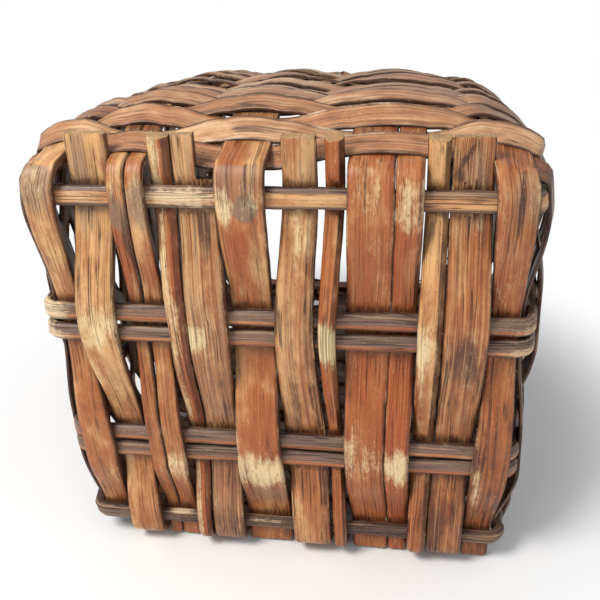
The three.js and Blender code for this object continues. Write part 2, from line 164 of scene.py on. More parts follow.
def ease(share: float) -> float:
    """Rise smoothly from 0 to 1.

    Args:
        share: Place on the rise; it is held between 0 and 1.

    Returns:
        The height of the rise.
    """
    held = min(1.0, max(0.0, share))
    return held * held * (3 - 2 * held)


def hermite(start: Vector, end: Vector, leave: Vector, arrive: Vector, share: float) -> Vector:
    """Return a point of the smooth curve between two points.

    Args:
        start: First point.
        end: Last point.
        leave: Direction and pull at the first point.
        arrive: Direction and pull at the last point.
        share: Place between them, 0 to 1.

    Returns:
        The point of the curve.
    """
    square = share * share
    cube = share**3
    return (
        start * (2 * cube - 3 * square + 1)
        + leave * (cube - 2 * square + share)
        + end * (3 * square - 2 * cube)
        + arrive * (cube - square)
    )


def add_object(name: str, data: bpy.types.ID) -> bpy.types.Object:
    """Add an object to the scene.

    Args:
        name: Its name.
        data: Its mesh, light or camera.

    Returns:
        The new object.
    """
    made = bpy.data.objects.new(name, data)
    bpy.context.scene.collection.objects.link(made)
    return made


@dataclass(frozen=True)
class Waver:
    """One layer of unevenness: its waves for each metre in two directions, seed and strength."""

    first: float
    second: float
    seed: float = 0.0
    strength: float = 1.0

    def at(self, first: float, second: float, seed: float) -> float:
        """Return the layer's value, between about minus and plus its strength.

        Args:
            first: Place in the first direction.
            second: Place in the second direction.
            seed: Seed of the splint.

        Returns:
            The value there.
        """
        place = Vector((first * self.first, second * self.second, (seed + self.seed) * SEED_SPACING))
        return self.strength * noise.noise(place)


# Unevenness of shape: the edges' waver, fibre grooves, slow sway and the torn ends
EDGE_WAVERS = (Waver(14, 9), Waver(55, 5, 7, 0.35))
FIBRE_GROOVES = (Waver(210, 7, 3), Waver(480, 11, 5, 0.6))
SWAY = Waver(6, 1.5, 11, 0.5)
TORN_END = Waver(240, 90, 13)

# Unevenness of look: tone along a splint, flaking edges, ragged patches, tone from turn to turn
TONE_DRIFT = Waver(9, 0.8, 17)
FLAKING = Waver(34, 7, 23)
RAGGED_PATCH = Waver(260, 24, 0.0, 0.35)
TURN_TONE = Waver(0.77, 4.2, 9.0)

# How a weaving splint leans to and fro from section to section and from turn to turn
TURN_LEAN = Waver(0.06, 1.3, 21.0)


@dataclass(frozen=True)
class WallFrame:
    """A point of the wall at one depth, with its directions across and up."""

    depth: float
    point: Vector
    outward: Vector
    onward: Vector
    narrowing: float

    def place(self, along_ring: float = 0.0, lift: float = 0.0) -> Vector:
        """Return a point beside this one.

        Args:
            along_ring: Distance along the ring of weaving.
            lift: Distance outwards.

        Returns:
            The point in space.
        """
        flat = self.point + self.onward * along_ring + self.outward * lift
        return Vector((flat.x, self.depth, flat.y))

    @property
    def away(self) -> Vector:
        """Return the direction out of the wall, in space."""
        return Vector((self.outward.x, 0, self.outward.y))

    @property
    def round_wall(self) -> Vector:
        """Return the direction along the ring of weaving, in space."""
        return Vector((self.onward.x, 0, self.onward.y))


@dataclass(frozen=True)
class WallShape:
    """The basket's walls, measured to the middle of the stakes."""

    base_half_width: float = 0.203
    base_half_height: float = 0.1985
    mouth_half_width: float = 0.152
    mouth_half_height: float = 0.143
    mouth_depth: float = 0.432
    side_bulge: float = 0.009
    side_bulge_depth: float = 0.225
    top_rise: float = 0.002
    top_edge_drop: float = 0.0185
    top_crown_depth: float = 0.095
    top_sag: float = 0.0135
    floor_edge_drop: float = 0.006
    floor_edge_depth: float = 0.060
    draw_start: float = 0.200
    draw_power: float = 1.6
    base_squareness: float = 14.0
    wall_squareness: float = 6.5
    top_squareness: float = 5.5
    side_crowding: float = 0.915
    mouth_crowding: float = 0.93
    mouth_stave_width: float = 0.86
    mouth_top_drop: float = 0.0085
    left_lean: float = 0.010
    left_lean_height: float = 0.290
    right_lean: float = 0.010
    right_lean_height: float = 0.250
    right_lean_depth: float = 0.020
    lean_focus: int = 6

    @property
    def centre_height(self) -> float:
        """Return the height of the base's middle over the floor."""
        return self.base_half_height + STAVE_THICK / 2 + CLEARANCE + WEAVER_THICK

    def frame(self, side: WallSide, place: float, depth: float) -> WallFrame:
        """Return the wall's point and directions.

        Args:
            side: Which wall.
            place: Distance from the middle of that wall at the base.
            depth: Distance from the base.

        Returns:
            The frame of the wall there.
        """
        swell = math.sin(math.pi * min(1.0, max(0.0, depth / self.side_bulge_depth)))
        drawn = self._drawn(depth)
        crown = ease(depth / self.top_crown_depth)
        sag = ease((depth - self.top_crown_depth) / (self.draw_start - self.top_crown_depth))
        top_half = self.base_half_height + self.top_rise
        top_half -= self.top_edge_drop * (1 - crown) + self.top_sag * sag
        floor_half = self.base_half_height - self.floor_edge_drop * (1 - ease(depth / self.floor_edge_depth))
        half_width = mix(self.base_half_width + self.side_bulge * swell, self.mouth_half_width, drawn)
        above = side.sign > 0 if side.level else place > 0
        roundest = self.top_squareness if above else self.wall_squareness
        squareness = mix(self.base_squareness, roundest, crown)
        mouth_height = self.mouth_half_height - (self.mouth_top_drop if above else 0.0)
        half_height = mix(top_half if above else floor_half, mouth_height, drawn)
        base_half = self.base_half_width if side.level else self.base_half_height
        mouth_half = self.mouth_half_width if side.level else self.mouth_half_height
        gathered = 1.0 if side.level else mix(1.0, self.side_crowding, crown)
        held = place * gathered * mix(1.0, mouth_half / base_half * self.mouth_crowding, drawn)
        share = held / (half_width if side.level else half_height)
        far = side.sign * (1 - abs(share) ** squareness) ** (1 / squareness)
        across, rise = (share, far) if side.level else (far, share)
        height = rise * half_height + self.centre_height
        lean = self._lean(across, height, depth)
        steep_across = math.copysign(abs(across) ** (squareness - 1), across)
        steep_rise = math.copysign(abs(rise) ** (squareness - 1), rise)
        outward = Vector((steep_across / half_width, steep_rise / half_height)).normalized()
        return WallFrame(
            depth=depth,
            point=Vector((across * half_width + lean, height)),
            outward=outward,
            onward=Vector((outward.y, -outward.x)),
            narrowing=mix(1.0, self.mouth_stave_width, drawn),
        )

    def _drawn(self, depth: float) -> float:
        """Return how far the walls have drawn in towards the mouth, from 0 to 1."""
        share = (depth - self.draw_start) / (self.mouth_depth - self.draw_start)
        return max(0.0, share) ** self.draw_power

    def _lean(self, across: float, height: float, depth: float) -> float:
        """Return how far the side walls lean inwards near the floor.

        Args:
            across: Place from the left wall, -1, to the right one, 1.
            height: Height over the floor.
            depth: Distance from the base.

        Returns:
            The shift towards positive X.
        """
        low_left = 1 - ease(height / self.left_lean_height)
        low_right = 1 - ease(height / self.right_lean_height)
        left = self.left_lean * low_left * max(0.0, -across) ** self.lean_focus
        right = self.right_lean * low_right * max(0.0, across) ** self.lean_focus
        return left - right * ease(depth / self.right_lean_depth)


@dataclass(frozen=True)
class Stake:
    """What one turn of weaving passes over or under: one splint or a close pair."""

    side: WallSide
    low: float
    high: float
    thick: float
    climb: float
    walls: WallShape

    @property
    def middle(self) -> float:
        """Return the middle of the stake on the base."""
        return (self.low + self.high) / 2

    @property
    def place(self) -> float:
        """Return the stake's distance from the middle of its wall.

        Returns:
            The distance; on the top and the bottom wall it keeps clear of the corners.
        """
        if not self.side.level:
            return self.middle - self.walls.centre_height
        furthest = CORNER_SHARE * self.walls.base_half_width
        return min(furthest, max(-furthest, self.middle))

    def frame(self, depth: float) -> WallFrame:
        """Return the wall's frame in the middle of the stake."""
        return self.walls.frame(self.side, self.place, depth)

    def offset(self, place: float) -> float:
        """Return how far along the ring from the stake's middle a place on the base lies."""
        return (place - self.middle) * self.side.direction


@dataclass
class Section:
    """One cross-section of a splint on its route."""

    centre: Vector
    across: Vector
    outward: Vector
    wide: float
    thick: float
    along: float = 0.0
    end: float = 0.0
    in_base: bool = False
    # How much the section is darkened: painted shade, with soiling in places
    shade_and_dirt: float = 0.0
    trim: float = 0.0
    crown: float = 0.0
    slant: float = 0.0


@dataclass(frozen=True)
class Patch:
    """A mark on the base: its middle across and over the floor, its reach and its strength.

    The lean is how far the mark moves across for each metre up.
    """

    mark: Mark
    x: float
    z: float
    reach_x: float
    reach_z: float
    amount: float = 1.0
    lean: float = 0.0

    def strength(self, point: Vector) -> float:
        """Return how strongly the patch marks a point of the base.

        Args:
            point: The point, before the basket is laid in its place.

        Returns:
            The strength, from 0 to the patch's amount.
        """
        rise = point.z - self.z
        far = math.hypot((point.x - self.x - self.lean * rise) / self.reach_x, rise / self.reach_z)
        far += RAGGED_PATCH.at(point.x, point.z, self.x * PATCH_SEED)
        return self.amount * (1 - ease((far - PATCH_SOLID) / PATCH_FADE))

    def lies_on(self, low: float, high: float) -> bool:
        """Return True where the middle of the patch lies between two edges."""
        return low <= self.x <= high


@dataclass(frozen=True)
class Stripe:
    """A mark that runs the whole length of a splint, from one place across it to another."""

    mark: Mark
    low: float
    high: float
    amount: float = 1.0


@dataclass(frozen=True)
class Look:
    """How one splint differs from the others of its kind, each from 0 to 1."""

    light: float = 0.5
    red: float = 0.3
    grey: float = 0.1
    fibrous: float = 0.3

    def towards(self, other: "Look", share: float) -> "Look":
        """Return the look between this one, at share 0, and another, at share 1."""
        pairs = zip(astuple(self), astuple(other))
        return Look(*(mix(here, there, share) for here, there in pairs))


@dataclass(frozen=True)
class RingPoint:
    """A place on a splint's outline: across and through, each from -1 to 1, and its bark."""

    across: float
    through: float
    bark: float = 0.0


def flat_outline(outer_points: int, inner_points: int) -> list[RingPoint]:
    """Return the outline of a flat splint with rounded edges.

    Args:
        outer_points: Points across the outer face.
        inner_points: Points across the inner face.

    Returns:
        The outline, once round.
    """
    face = 0.965
    shoulder = 0.995
    rounding = 0.8
    outer = [RingPoint(mix(-face, face, i / (outer_points - 1)), 1.0) for i in range(outer_points)]
    inner = [RingPoint(mix(face, -face, i / (inner_points - 1)), -1.0) for i in range(inner_points)]
    edge = [RingPoint(shoulder, rounding), RingPoint(1.0, 0.0), RingPoint(shoulder, -rounding)]
    back_edge = [RingPoint(-point.across, -point.through) for point in edge]
    return outer + edge + inner + back_edge


def split_rod_outline(points: int, face_at: float, face_half: float) -> list[RingPoint]:
    """Return the outline of a split rod: a pale split face and bark round the rest.

    Args:
        points: Points on the whole outline.
        face_at: Middle of the split face, across the rod.
        face_half: Half the width of the split face.

    Returns:
        The outline, once round.
    """
    fullness = 0.8
    lowest_face = 0.15
    bark_fade = 0.35
    flat_top = 0.92
    outline = []
    for i in range(points):
        angle = 2 * math.pi * (i + 0.5) / points
        across = math.copysign(abs(math.cos(angle)) ** fullness, math.cos(angle))
        through = math.copysign(abs(math.sin(angle)) ** fullness, math.sin(angle))
        off_face = max(abs(across - face_at) - face_half, lowest_face - through)
        bark = ease(0.5 + off_face / bark_fade)
        outline.append(RingPoint(across, min(through, flat_top), bark))
    return outline


@dataclass
class SplintSkin:
    """Turns a route of sections into the surface of one hand-split splint."""

    name: str
    outline: list[RingPoint]
    seed: float
    look: Look
    low_look: Look | None = None
    patches: tuple[Patch, ...] = ()
    stripes: tuple[Stripe, ...] = ()
    relief: float = 0.0005
    waviness: float = 0.0009
    bevels: tuple[float, float] = (0.12, 0.12)
    edge_drop: float = 0.0
    jag: float = 0.0

    def build(self, sections: list[Section]) -> bpy.types.Object:
        """Build the splint's mesh object.

        Args:
            sections: The cross-sections, from one end to the other.

        Returns:
            The new object, with its place in its mesh.
        """
        self._measure(sections)
        around = len(self.outline)
        rows = len(sections)
        mesh = bmesh.new()
        bmesh.ops.create_grid(mesh, x_segments=around, y_segments=rows - 1, size=0.5)
        layers = [mesh.verts.layers.float_vector.new(name) for name in SHADE_NAMES]
        frames = [self._frame(sections, i) for i in range(rows)]
        for vertex in mesh.verts:
            ring = round((vertex.co.x + 0.5) * around) % around
            row = round((vertex.co.y + 0.5) * (rows - 1))
            section, point = sections[row], self.outline[ring]
            place, grain = self._surface(section, point, *frames[row])
            place.z = max(place.z, -LAID.z)
            vertex.co = place
            vertex[layers[0]] = grain
            for layer, value in zip(layers[1:], self._marks(section, point, place)):
                vertex[layer] = value
        bmesh.ops.remove_doubles(mesh, verts=mesh.verts, dist=1e-7)
        open_edges = [edge for edge in mesh.edges if edge.is_boundary]
        bmesh.ops.holes_fill(mesh, edges=open_edges, sides=0)
        bmesh.ops.recalc_face_normals(mesh, faces=mesh.faces)
        for face in mesh.faces:
            face.smooth = len(face.verts) < 5
        for edge in open_edges:
            edge.smooth = False
        bmesh.ops.translate(mesh, verts=mesh.verts, vec=LAID)
        data = bpy.data.meshes.new(self.name)
        mesh.to_mesh(data)
        mesh.free()
        return add_object(self.name, data)

    def _measure(self, sections: list[Section]) -> None:
        """Write each section's distance along the route."""
        for before, after in zip(sections, sections[1:]):
            after.along = before.along + (after.centre - before.centre).length

    def _frame(self, sections: list[Section], row: int) -> tuple[Vector, Vector, Vector]:
        """Return a section's directions, square to the route.

        Args:
            sections: The route.
            row: Number of the section.

        Returns:
            The directions along, across and outward.
        """
        before, after = sections[max(row - 1, 0)], sections[min(row + 1, len(sections) - 1)]
        along = (after.centre - before.centre).normalized()
        section = sections[row]
        across = (section.across - along * section.across.dot(along)).normalized()
        outward = along.cross(across)
        if outward.dot(section.outward) < 0:
            outward = -outward
        return along, across, outward

    def _surface(
        self, section: Section, point: RingPoint, along: Vector, across: Vector, outward: Vector
    ) -> tuple[Vector, Vector]:
        """Return one point of the surface.

        Args:
            section: The cross-section that it lies on.
            point: Its place on the outline.
            along: Direction of the route.
            across: Direction across the splint.
            outward: Direction through the splint.

        Returns:
            The point, and its place in the straight splint for the grain.
        """
        half_wide = section.wide / 2
        half_thick = section.thick / 2
        edge = math.copysign(1.0, point.across)
        wave = self.waviness * sum(layer.at(section.along, edge, self.seed) for layer in EDGE_WAVERS)
        reach = point.across * (half_wide + wave * abs(point.across))
        if section.trim:
            kept = half_wide * (1 - 2 * section.trim)
            reach = min(reach, kept - (1 - abs(point.through)) * TRIM_ROUNDING)
        left, right = self.bevels
        flat = min(1.0, (1 + point.across) / left, (1 - point.across) / right)
        height = point.through * half_thick
        if abs(point.through) > FACE_EDGE:
            groove = sum(layer.at(reach, section.along, self.seed) for layer in FIBRE_GROOVES)
            height += math.copysign(groove * self.relief, point.through)
        if point.through > 0:
            height += section.crown * flat - self.edge_drop * (1 - flat)
        sway = self.waviness * SWAY.at(section.along, 1.0, self.seed)
        place = section.centre + across * (reach + sway) + outward * height
        place += along * section.slant * (height + half_thick)
        if section.end > 0:
            place += along * TORN_END.at(reach, height, self.seed) * self.jag * section.end
        shifted_along = section.along + self.seed * GRAIN_SHIFT_ALONG
        shifted_across = reach + self.seed * GRAIN_SHIFT_ACROSS
        return place, Vector((shifted_along, shifted_across, height))

    def _marks(self, section: Section, point: RingPoint, place: Vector) -> tuple[Vector, Vector, Vector]:
        """Return what the surface shows at one point.

        Args:
            section: The cross-section that the point lies on.
            point: Its place on the outline.
            place: Where it lies.

        Returns:
            Wear with painted glints, grey and bark, then light, dark with painted shade, and red, then cut,
            fibrous and side.
        """
        found = {mark: 0.0 for mark in Mark}
        if section.in_base and point.through > BACK_FACE:
            for patch in self.patches:
                found[patch.mark] = max(found[patch.mark], patch.strength(place))
        for stripe in self.stripes:
            if stripe.low <= point.across <= stripe.high:
                found[stripe.mark] = max(found[stripe.mark], stripe.amount)
        look = self.look
        if self.low_look:
            look = look.towards(self.low_look, ease((LOOK_TOP - place.z) / LOOK_REACH))
        drift = TONE_DRIFT.at(section.along, point.across, self.seed)
        side = 1.0 if abs(point.through) < FACE_EDGE else 0.0
        # Painted shade, with some soiling, darkens every splint towards its edges
        edge_shade_and_grime = EDGE_SHADE_AND_GRIME * ease((abs(point.across) - EDGE_SHADE_START) / EDGE_SHADE_REACH)
        # The pale channel: rubbed wood, and on the rods painted glints
        wear_and_highlight = found[Mark.WEAR_AND_HIGHLIGHT]
        if abs(point.across) > FACE_EDGE and point.through > FACE_EDGE:
            flaking = FLAKING.at(section.along, math.copysign(1.0, point.across), self.seed)
            wear_and_highlight = max(wear_and_highlight, EDGE_WEAR * (flaking + FLAKING_SHARE))
        grey = max(found[Mark.GREY], look.grey)
        bark = max(found[Mark.BARK], point.bark)
        light = look.light + LIGHT_DRIFT * drift
        # The dark channel holds dark marks, the route's painted shade and soiling, and the edges' painted
        # shade
        dark = max(found[Mark.DARK], section.shade_and_dirt, edge_shade_and_grime)
        red = max(found[Mark.RED], look.red - RED_DRIFT * drift)
        marks = Vector((wear_and_highlight, grey, bark))
        looks = Vector((light, dark, red))
        return marks, looks, Vector((section.end, look.fibrous, side))


class Nodes:
    """Short ways to add and join shader nodes in one tree."""

    def __init__(self, tree: bpy.types.NodeTree) -> None:
        """Keep the tree that the nodes go into."""
        self.tree = tree

    def add(self, kind: str, **settings: object) -> bpy.types.Node:
        """Add a node.

        Args:
            kind: Its type name.
            **settings: Its properties.

        Returns:
            The new node.
        """
        node = self.tree.nodes.new(kind)
        for key, value in settings.items():
            setattr(node, key, value)
        return node

    def put(self, socket: Socket, value: object) -> None:
        """Join an output to a socket, or set the socket to a plain value.

        Args:
            socket: The input socket.
            value: An output socket or a plain value.
        """
        if isinstance(value, Socket):
            self.tree.links.new(value, socket)
        else:
            socket.default_value = value

    def math(self, operation: str, *values: object, clamp: bool = False) -> Socket:
        """Add a calculation.

        Args:
            operation: Its name.
            *values: Numbers or sockets.
            clamp: Whether the result is held between 0 and 1.

        Returns:
            The result's socket.
        """
        node = self.add("ShaderNodeMath", operation=operation, use_clamp=clamp)
        for socket, value in zip(node.inputs, values):
            self.put(socket, value)
        return node.outputs[0]

    def grain(self, vector: object, layer: "GrainLayer") -> Socket:
        """Add stretched noise.

        Args:
            vector: Place in the wood.
            layer: The noise's waves and detail.

        Returns:
            The noise's socket, from 0 to 1.
        """
        stretched = self.add("ShaderNodeVectorMath", operation="MULTIPLY")
        self.put(stretched.inputs[0], vector)
        stretched.inputs[1].default_value = (layer.along, layer.across, layer.through)
        node = self.add("ShaderNodeTexNoise")
        self.put(node.inputs["Vector"], stretched.outputs[0])
        node.inputs["Scale"].default_value = 1.0
        node.inputs["Detail"].default_value = layer.detail
        node.inputs["Roughness"].default_value = NOISE_ROUGHNESS
        return node.outputs["Fac"]

    def span(self, value: object, low: float, high: float) -> Socket:
        """Spread a value smoothly from 0 at low to 1 at high.

        Args:
            value: The value's socket.
            low: What becomes 0.
            high: What becomes 1.

        Returns:
            The spread value's socket.
        """
        node = self.add("ShaderNodeMapRange", interpolation_type="SMOOTHSTEP")
        self.put(node.inputs["Value"], value)
        node.inputs["From Min"].default_value = low
        node.inputs["From Max"].default_value = high
        return node.outputs["Result"]

    def blend(self, share: object, first: object, second: object) -> Socket:
        """Blend two colours.

        Args:
            share: How much of the second.
            first: First colour.
            second: Second colour.

        Returns:
            The blended colour's socket.
        """
        node = self.add("ShaderNodeMix", data_type="RGBA")
        self.put(node.inputs["Factor"], share)
        self.put(node.inputs[6], first)
        self.put(node.inputs[7], second)
        return node.outputs[2]


@dataclass(frozen=True)
class GrainLayer:
    """One layer of the grain: waves a metre along, across and through the wood, and its detail."""

    along: float
    across: float
    through: float
    detail: float


@dataclass(frozen=True)
class CrackKind:
    """One kind of crack: its lines, how thin they are, and where in the wood they open."""

    line: GrainLayer
    core: float
    border: float
    places: GrainLayer
    closed: float
    opened: float


@dataclass(frozen=True)
class Overlay:
    """A colour laid over the wood: from what value it shows, where it is full, and its strength."""

    start: float
    full: float
    strength: float


NOISE_ROUGHNESS = 0.55
COAT_ROUGHNESS = 0.35
SPECULAR_LEVEL = 0.35
BUMP_DISTANCE = 0.001

# Layers of the grain, the grain's wander and the two kinds of crack
GRAIN_LAYERS = {
    "Fibre": GrainLayer(11, 640, 500, 4.0),
    "Streak": GrainLayer(5, 210, 200, 3.0),
    "Drift": GrainLayer(19, 55, 55, 3.0),
    "Speck": GrainLayer(260, 760, 640, 3.0),
}
STAIN_LAYER = GrainLayer(48, 100, 100, 6.0)
WANDER_LAYER = GrainLayer(11, 30, 30, 1.0)
WANDER_REACH = 0.004
SHORT_CRACKS = CrackKind(GrainLayer(6, 300, 260, 1.0), 0.003, 0.02, GrainLayer(10, 90, 90, 2.0), 0.44, 0.56)
LONG_CRACKS = CrackKind(GrainLayer(2.5, 130, 120, 1.0), 0.008, 0.03, GrainLayer(16, 50, 50, 2.0), 0.53, 0.6)

# Which colours are laid over the wood, and how
OVERLAYS = {
    "Red": Overlay(0.15, 1.0, 0.88),
    "Grey": Overlay(0.1, 0.95, 0.85),
    "Bark": Overlay(0.3, 0.75, 0.88),
    "Deep": Overlay(0.1, 0.95, 0.9),
    "Worn": Overlay(0.2, 1.05, 0.88),
    "Cut": Overlay(0.85, 1.0, 0.75),
}
SIDE_STRENGTH = 0.75
SPECK_STRENGTH = 0.28
PIT_STRENGTH = 0.55


def paint(red: int, green: int, blue: int) -> Colour:
    """Turn a colour as it is seen into the linear one that shaders use.

    Args:
        red: Red, from 0 to 255.
        green: Green, from 0 to 255.
        blue: Blue, from 0 to 255.

    Returns:
        The linear colour, opaque.
    """
    parts = [value / 255 for value in (red, green, blue)]
    linear = [part / 12.92 if part <= 0.04045 else ((part + 0.055) / 1.055) ** 2.4 for part in parts]
    return (linear[0], linear[1], linear[2], 1.0)


@dataclass(frozen=True)
class WoodFinish:
    """One kind of split wood: its colours and how fresh it looks."""

    name: str
    clean: Colour
    tan: Colour
    red: Colour
    deep: Colour
    grey: Colour
    # Pale colour of rubbed wood, also used for painted glints
    worn: Colour
    bark: Colour
    cut: Colour
    side: Colour
    roughness: float
    coat: float
    bump: float

    def material(self, shared: "SharedEffects") -> bpy.types.Material:
        """Build the finish's material.

        Args:
            shared: The node groups that all finishes use.

        Returns:
            The new material.
        """
        made = bpy.data.materials.new(self.name)
        made.use_nodes = True
        made.node_tree.nodes.clear()
        nodes = Nodes(made.node_tree)
        read = {name: nodes.add("ShaderNodeAttribute", attribute_name=name) for name in SHADE_NAMES}
        grain = nodes.add("ShaderNodeGroup", node_tree=shared.grain)
        nodes.put(grain.inputs["Grain"], read["grain"].outputs["Vector"])
        tone = nodes.add("ShaderNodeGroup", node_tree=shared.tone)
        for name in GRAIN_TITLES:
            nodes.put(tone.inputs[name], grain.outputs[name])
        for name in SHADE_NAMES[1:]:
            nodes.put(tone.inputs[name.title()], read[name].outputs["Vector"])
        for name in COLOUR_TITLES:
            nodes.put(tone.inputs[f"{name} colour"], getattr(self, name.lower()))
        surface = nodes.add("ShaderNodeBsdfPrincipled")
        nodes.put(surface.inputs["Base Color"], tone.outputs["Colour"])
        rough = nodes.math("ADD", tone.outputs["Roughness"], self.roughness, clamp=True)
        nodes.put(surface.inputs["Roughness"], rough)
        surface.inputs["Coat Weight"].default_value = self.coat
        surface.inputs["Coat Roughness"].default_value = COAT_ROUGHNESS
        surface.inputs["Specular IOR Level"].default_value = SPECULAR_LEVEL
        bump = nodes.add("ShaderNodeBump")
        bump.inputs["Strength"].default_value = self.bump
        bump.inputs["Distance"].default_value = BUMP_DISTANCE
        nodes.put(bump.inputs["Height"], tone.outputs["Height"])
        nodes.put(surface.inputs["Normal"], bump.outputs["Normal"])
        output = nodes.add("ShaderNodeOutputMaterial")
        nodes.put(output.inputs["Surface"], surface.outputs["BSDF"])
        return made


SHADE_NAMES = ("grain", "marks", "looks", "texture")
GRAIN_TITLES = ("Fibre", "Streak", "Crack", "Drift", "Speck", "Stain")


@dataclass
class SharedEffects:
    """The node groups that every wood finish uses: its grain, and its tone, which age gives it, with painted
    shade and painted highlights laid in.
    """

    grain: bpy.types.NodeTree = field(init=False)
    tone: bpy.types.NodeTree = field(init=False)

    def __post_init__(self) -> None:
        """Build both groups."""
        self.grain = self._grain_group()
        self.tone = self._tone_group()

    def _open(
        self, name: str, inputs: Iterable[tuple[str, str]], outputs: Iterable[tuple[str, str]]
    ) -> tuple[bpy.types.NodeTree, Nodes, bpy.types.Node, bpy.types.Node]:
        """Start a node group.

        Args:
            name: The group's name.
            inputs: Names and socket types.
            outputs: Names and socket types.

        Returns:
            The tree, its short ways, and its input and output nodes.
        """
        tree = bpy.data.node_groups.new(name, "ShaderNodeTree")
        for title, kind in inputs:
            tree.interface.new_socket(title, in_out="INPUT", socket_type=kind)
        for title, kind in outputs:
            tree.interface.new_socket(title, in_out="OUTPUT", socket_type=kind)
        nodes = Nodes(tree)
        return tree, nodes, nodes.add("NodeGroupInput"), nodes.add("NodeGroupOutput")

    def _grain_group(self) -> bpy.types.NodeTree:
        """Build the grain: fine fibres, broad streaks, thin cracks and slow drift.

        Returns:
            The group's tree.
        """
        number = "NodeSocketFloat"
        tree, nodes, given, result = self._open(
            "split_wood_grain",
            [("Grain", "NodeSocketVector")],
            [(title, number) for title in GRAIN_TITLES],
        )
        place = given.outputs["Grain"]
        wander = nodes.math("SUBTRACT", nodes.grain(place, WANDER_LAYER), 0.5)
        shift = nodes.add("ShaderNodeCombineXYZ")
        nodes.put(shift.inputs["Y"], nodes.math("MULTIPLY", wander, WANDER_REACH))
        bent = nodes.add("ShaderNodeVectorMath", operation="ADD")
        nodes.put(bent.inputs[0], place)
        nodes.put(bent.inputs[1], shift.outputs["Vector"])
        wood = bent.outputs[0]
        for title, layer in GRAIN_LAYERS.items():
            nodes.put(result.inputs[title], nodes.grain(wood, layer))
        nodes.put(result.inputs["Stain"], nodes.grain(place, STAIN_LAYER))
        cracks = [self._cracks(nodes, wood, kind) for kind in (SHORT_CRACKS, LONG_CRACKS)]
        nodes.put(result.inputs["Crack"], nodes.math("MAXIMUM", *cracks))
        return tree

    def _cracks(self, nodes: Nodes, wood: Socket, kind: CrackKind) -> Socket:
        """Add one kind of crack to the grain.

        Args:
            nodes: The grain's short ways.
            wood: Place in the wood.
            kind: The kind of crack.

        Returns:
            The socket of the cracks, from 0 to 1.
        """
        off_line = nodes.math("SUBTRACT", nodes.grain(wood, kind.line), 0.5)
        near = nodes.math("ABSOLUTE", off_line)
        thin = nodes.math("SUBTRACT", 1.0, nodes.span(near, kind.core, kind.border))
        where = nodes.span(nodes.grain(wood, kind.places), kind.closed, kind.opened)
        return nodes.math("MULTIPLY", thin, where)

    def _tone_group(self) -> bpy.types.NodeTree:
        """Build the tone: light, red and grey wood, rubbed patches and painted glints, dirty patches and
        painted shade, barked and cut.

        Returns:
            The group's tree.
        """
        number, vector, colour = "NodeSocketFloat", "NodeSocketVector", "NodeSocketColor"
        inputs = [(title, number) for title in GRAIN_TITLES]
        inputs += [(name.title(), vector) for name in SHADE_NAMES[1:]]
        inputs += [(f"{name} colour", colour) for name in COLOUR_TITLES]
        outputs = [("Colour", colour), ("Roughness", number), ("Height", number)]
        tree, nodes, given, result = self._open("aged_and_shaded_wood_tone", inputs, outputs)
        split = [nodes.add("ShaderNodeSeparateXYZ") for _ in SHADE_NAMES[1:]]
        for node, name in zip(split, SHADE_NAMES[1:]):
            nodes.put(node.inputs[0], given.outputs[name.title()])
        wear_and_highlight, grey, bark = split[0].outputs
        light, dark, red = split[1].outputs
        cut, fibrous, side = split[2].outputs
        fibre, streak, crack = given.outputs["Fibre"], given.outputs["Streak"], given.outputs["Crack"]
        colour_of = {title: given.outputs[f"{title} colour"] for title in COLOUR_TITLES}
        slow = nodes.math("SUBTRACT", given.outputs["Drift"], 0.5)
        lean = nodes.math("SUBTRACT", streak, 0.5)
        speck = nodes.math("SUBTRACT", given.outputs["Speck"], 0.5)
        stain = nodes.math("SUBTRACT", given.outputs["Stain"], 0.5)

        def total(start: object, *parts: tuple[object, float]) -> Socket:
            """Add scaled parts to a value.

            Args:
                start: The value.
                *parts: What is added, each with its scale.

            Returns:
                The sum's socket.
            """
            for value, scale in parts:
                start = nodes.math("ADD", start, nodes.math("MULTIPLY", value, scale))
            return start

        def over(below: object, title: str, share: object, strength: object) -> Socket:
            """Lay one of the finish's colours over what lies below.

            Args:
                below: The colour below.
                title: Which colour is laid over it.
                share: Where it lies, from 0 to 1.
                strength: How strong it is where it lies.

            Returns:
                The new colour's socket.
            """
            return nodes.blend(nodes.math("MULTIPLY", share, strength), below, colour_of[title])

        def overlaid(below: object, title: str, amount: object) -> Socket:
            """Lay a colour over what lies below, where its amount is high enough."""
            kind = OVERLAYS[title]
            return over(below, title, nodes.span(amount, kind.start, kind.full), kind.strength)

        def under(value: object, low: float, high: float) -> Socket:
            """Return 1 where a value lies under low, falling to 0 at high."""
            return nodes.math("SUBTRACT", 1.0, nodes.span(value, low, high))

        streaky = nodes.math("MULTIPLY", lean, total(0.4, (fibrous, 0.9)))
        level = total(light, (slow, 0.8), (streaky, 0.75), (stain, 0.9))
        mid = nodes.blend(nodes.span(level, -0.05, 0.42), colour_of["Deep"], colour_of["Clean"])
        shown = nodes.blend(nodes.span(level, 0.38, 0.98), mid, colour_of["Tan"])
        shown = overlaid(shown, "Red", total(red, (streaky, 1.0), (slow, -0.8)))
        shown = overlaid(shown, "Grey", total(grey, (streaky, 0.9), (slow, 0.6)))
        # The dark channel, which holds painted shade as well as dark marks and soiling, deepens the grain's
        # streaks here and lays the deep colour below
        shown = over(shown, "Deep", under(streak, 0.33, 0.5), total(0.03, (dark, 0.3), (fibrous, 0.36)))
        shown = over(shown, "Side", side, SIDE_STRENGTH)
        shown = overlaid(shown, "Bark", total(bark, (lean, 1.3), (speck, 0.5), (stain, 0.6)))
        shown = overlaid(shown, "Deep", total(dark, (lean, 0.5), (stain, -1.0)))
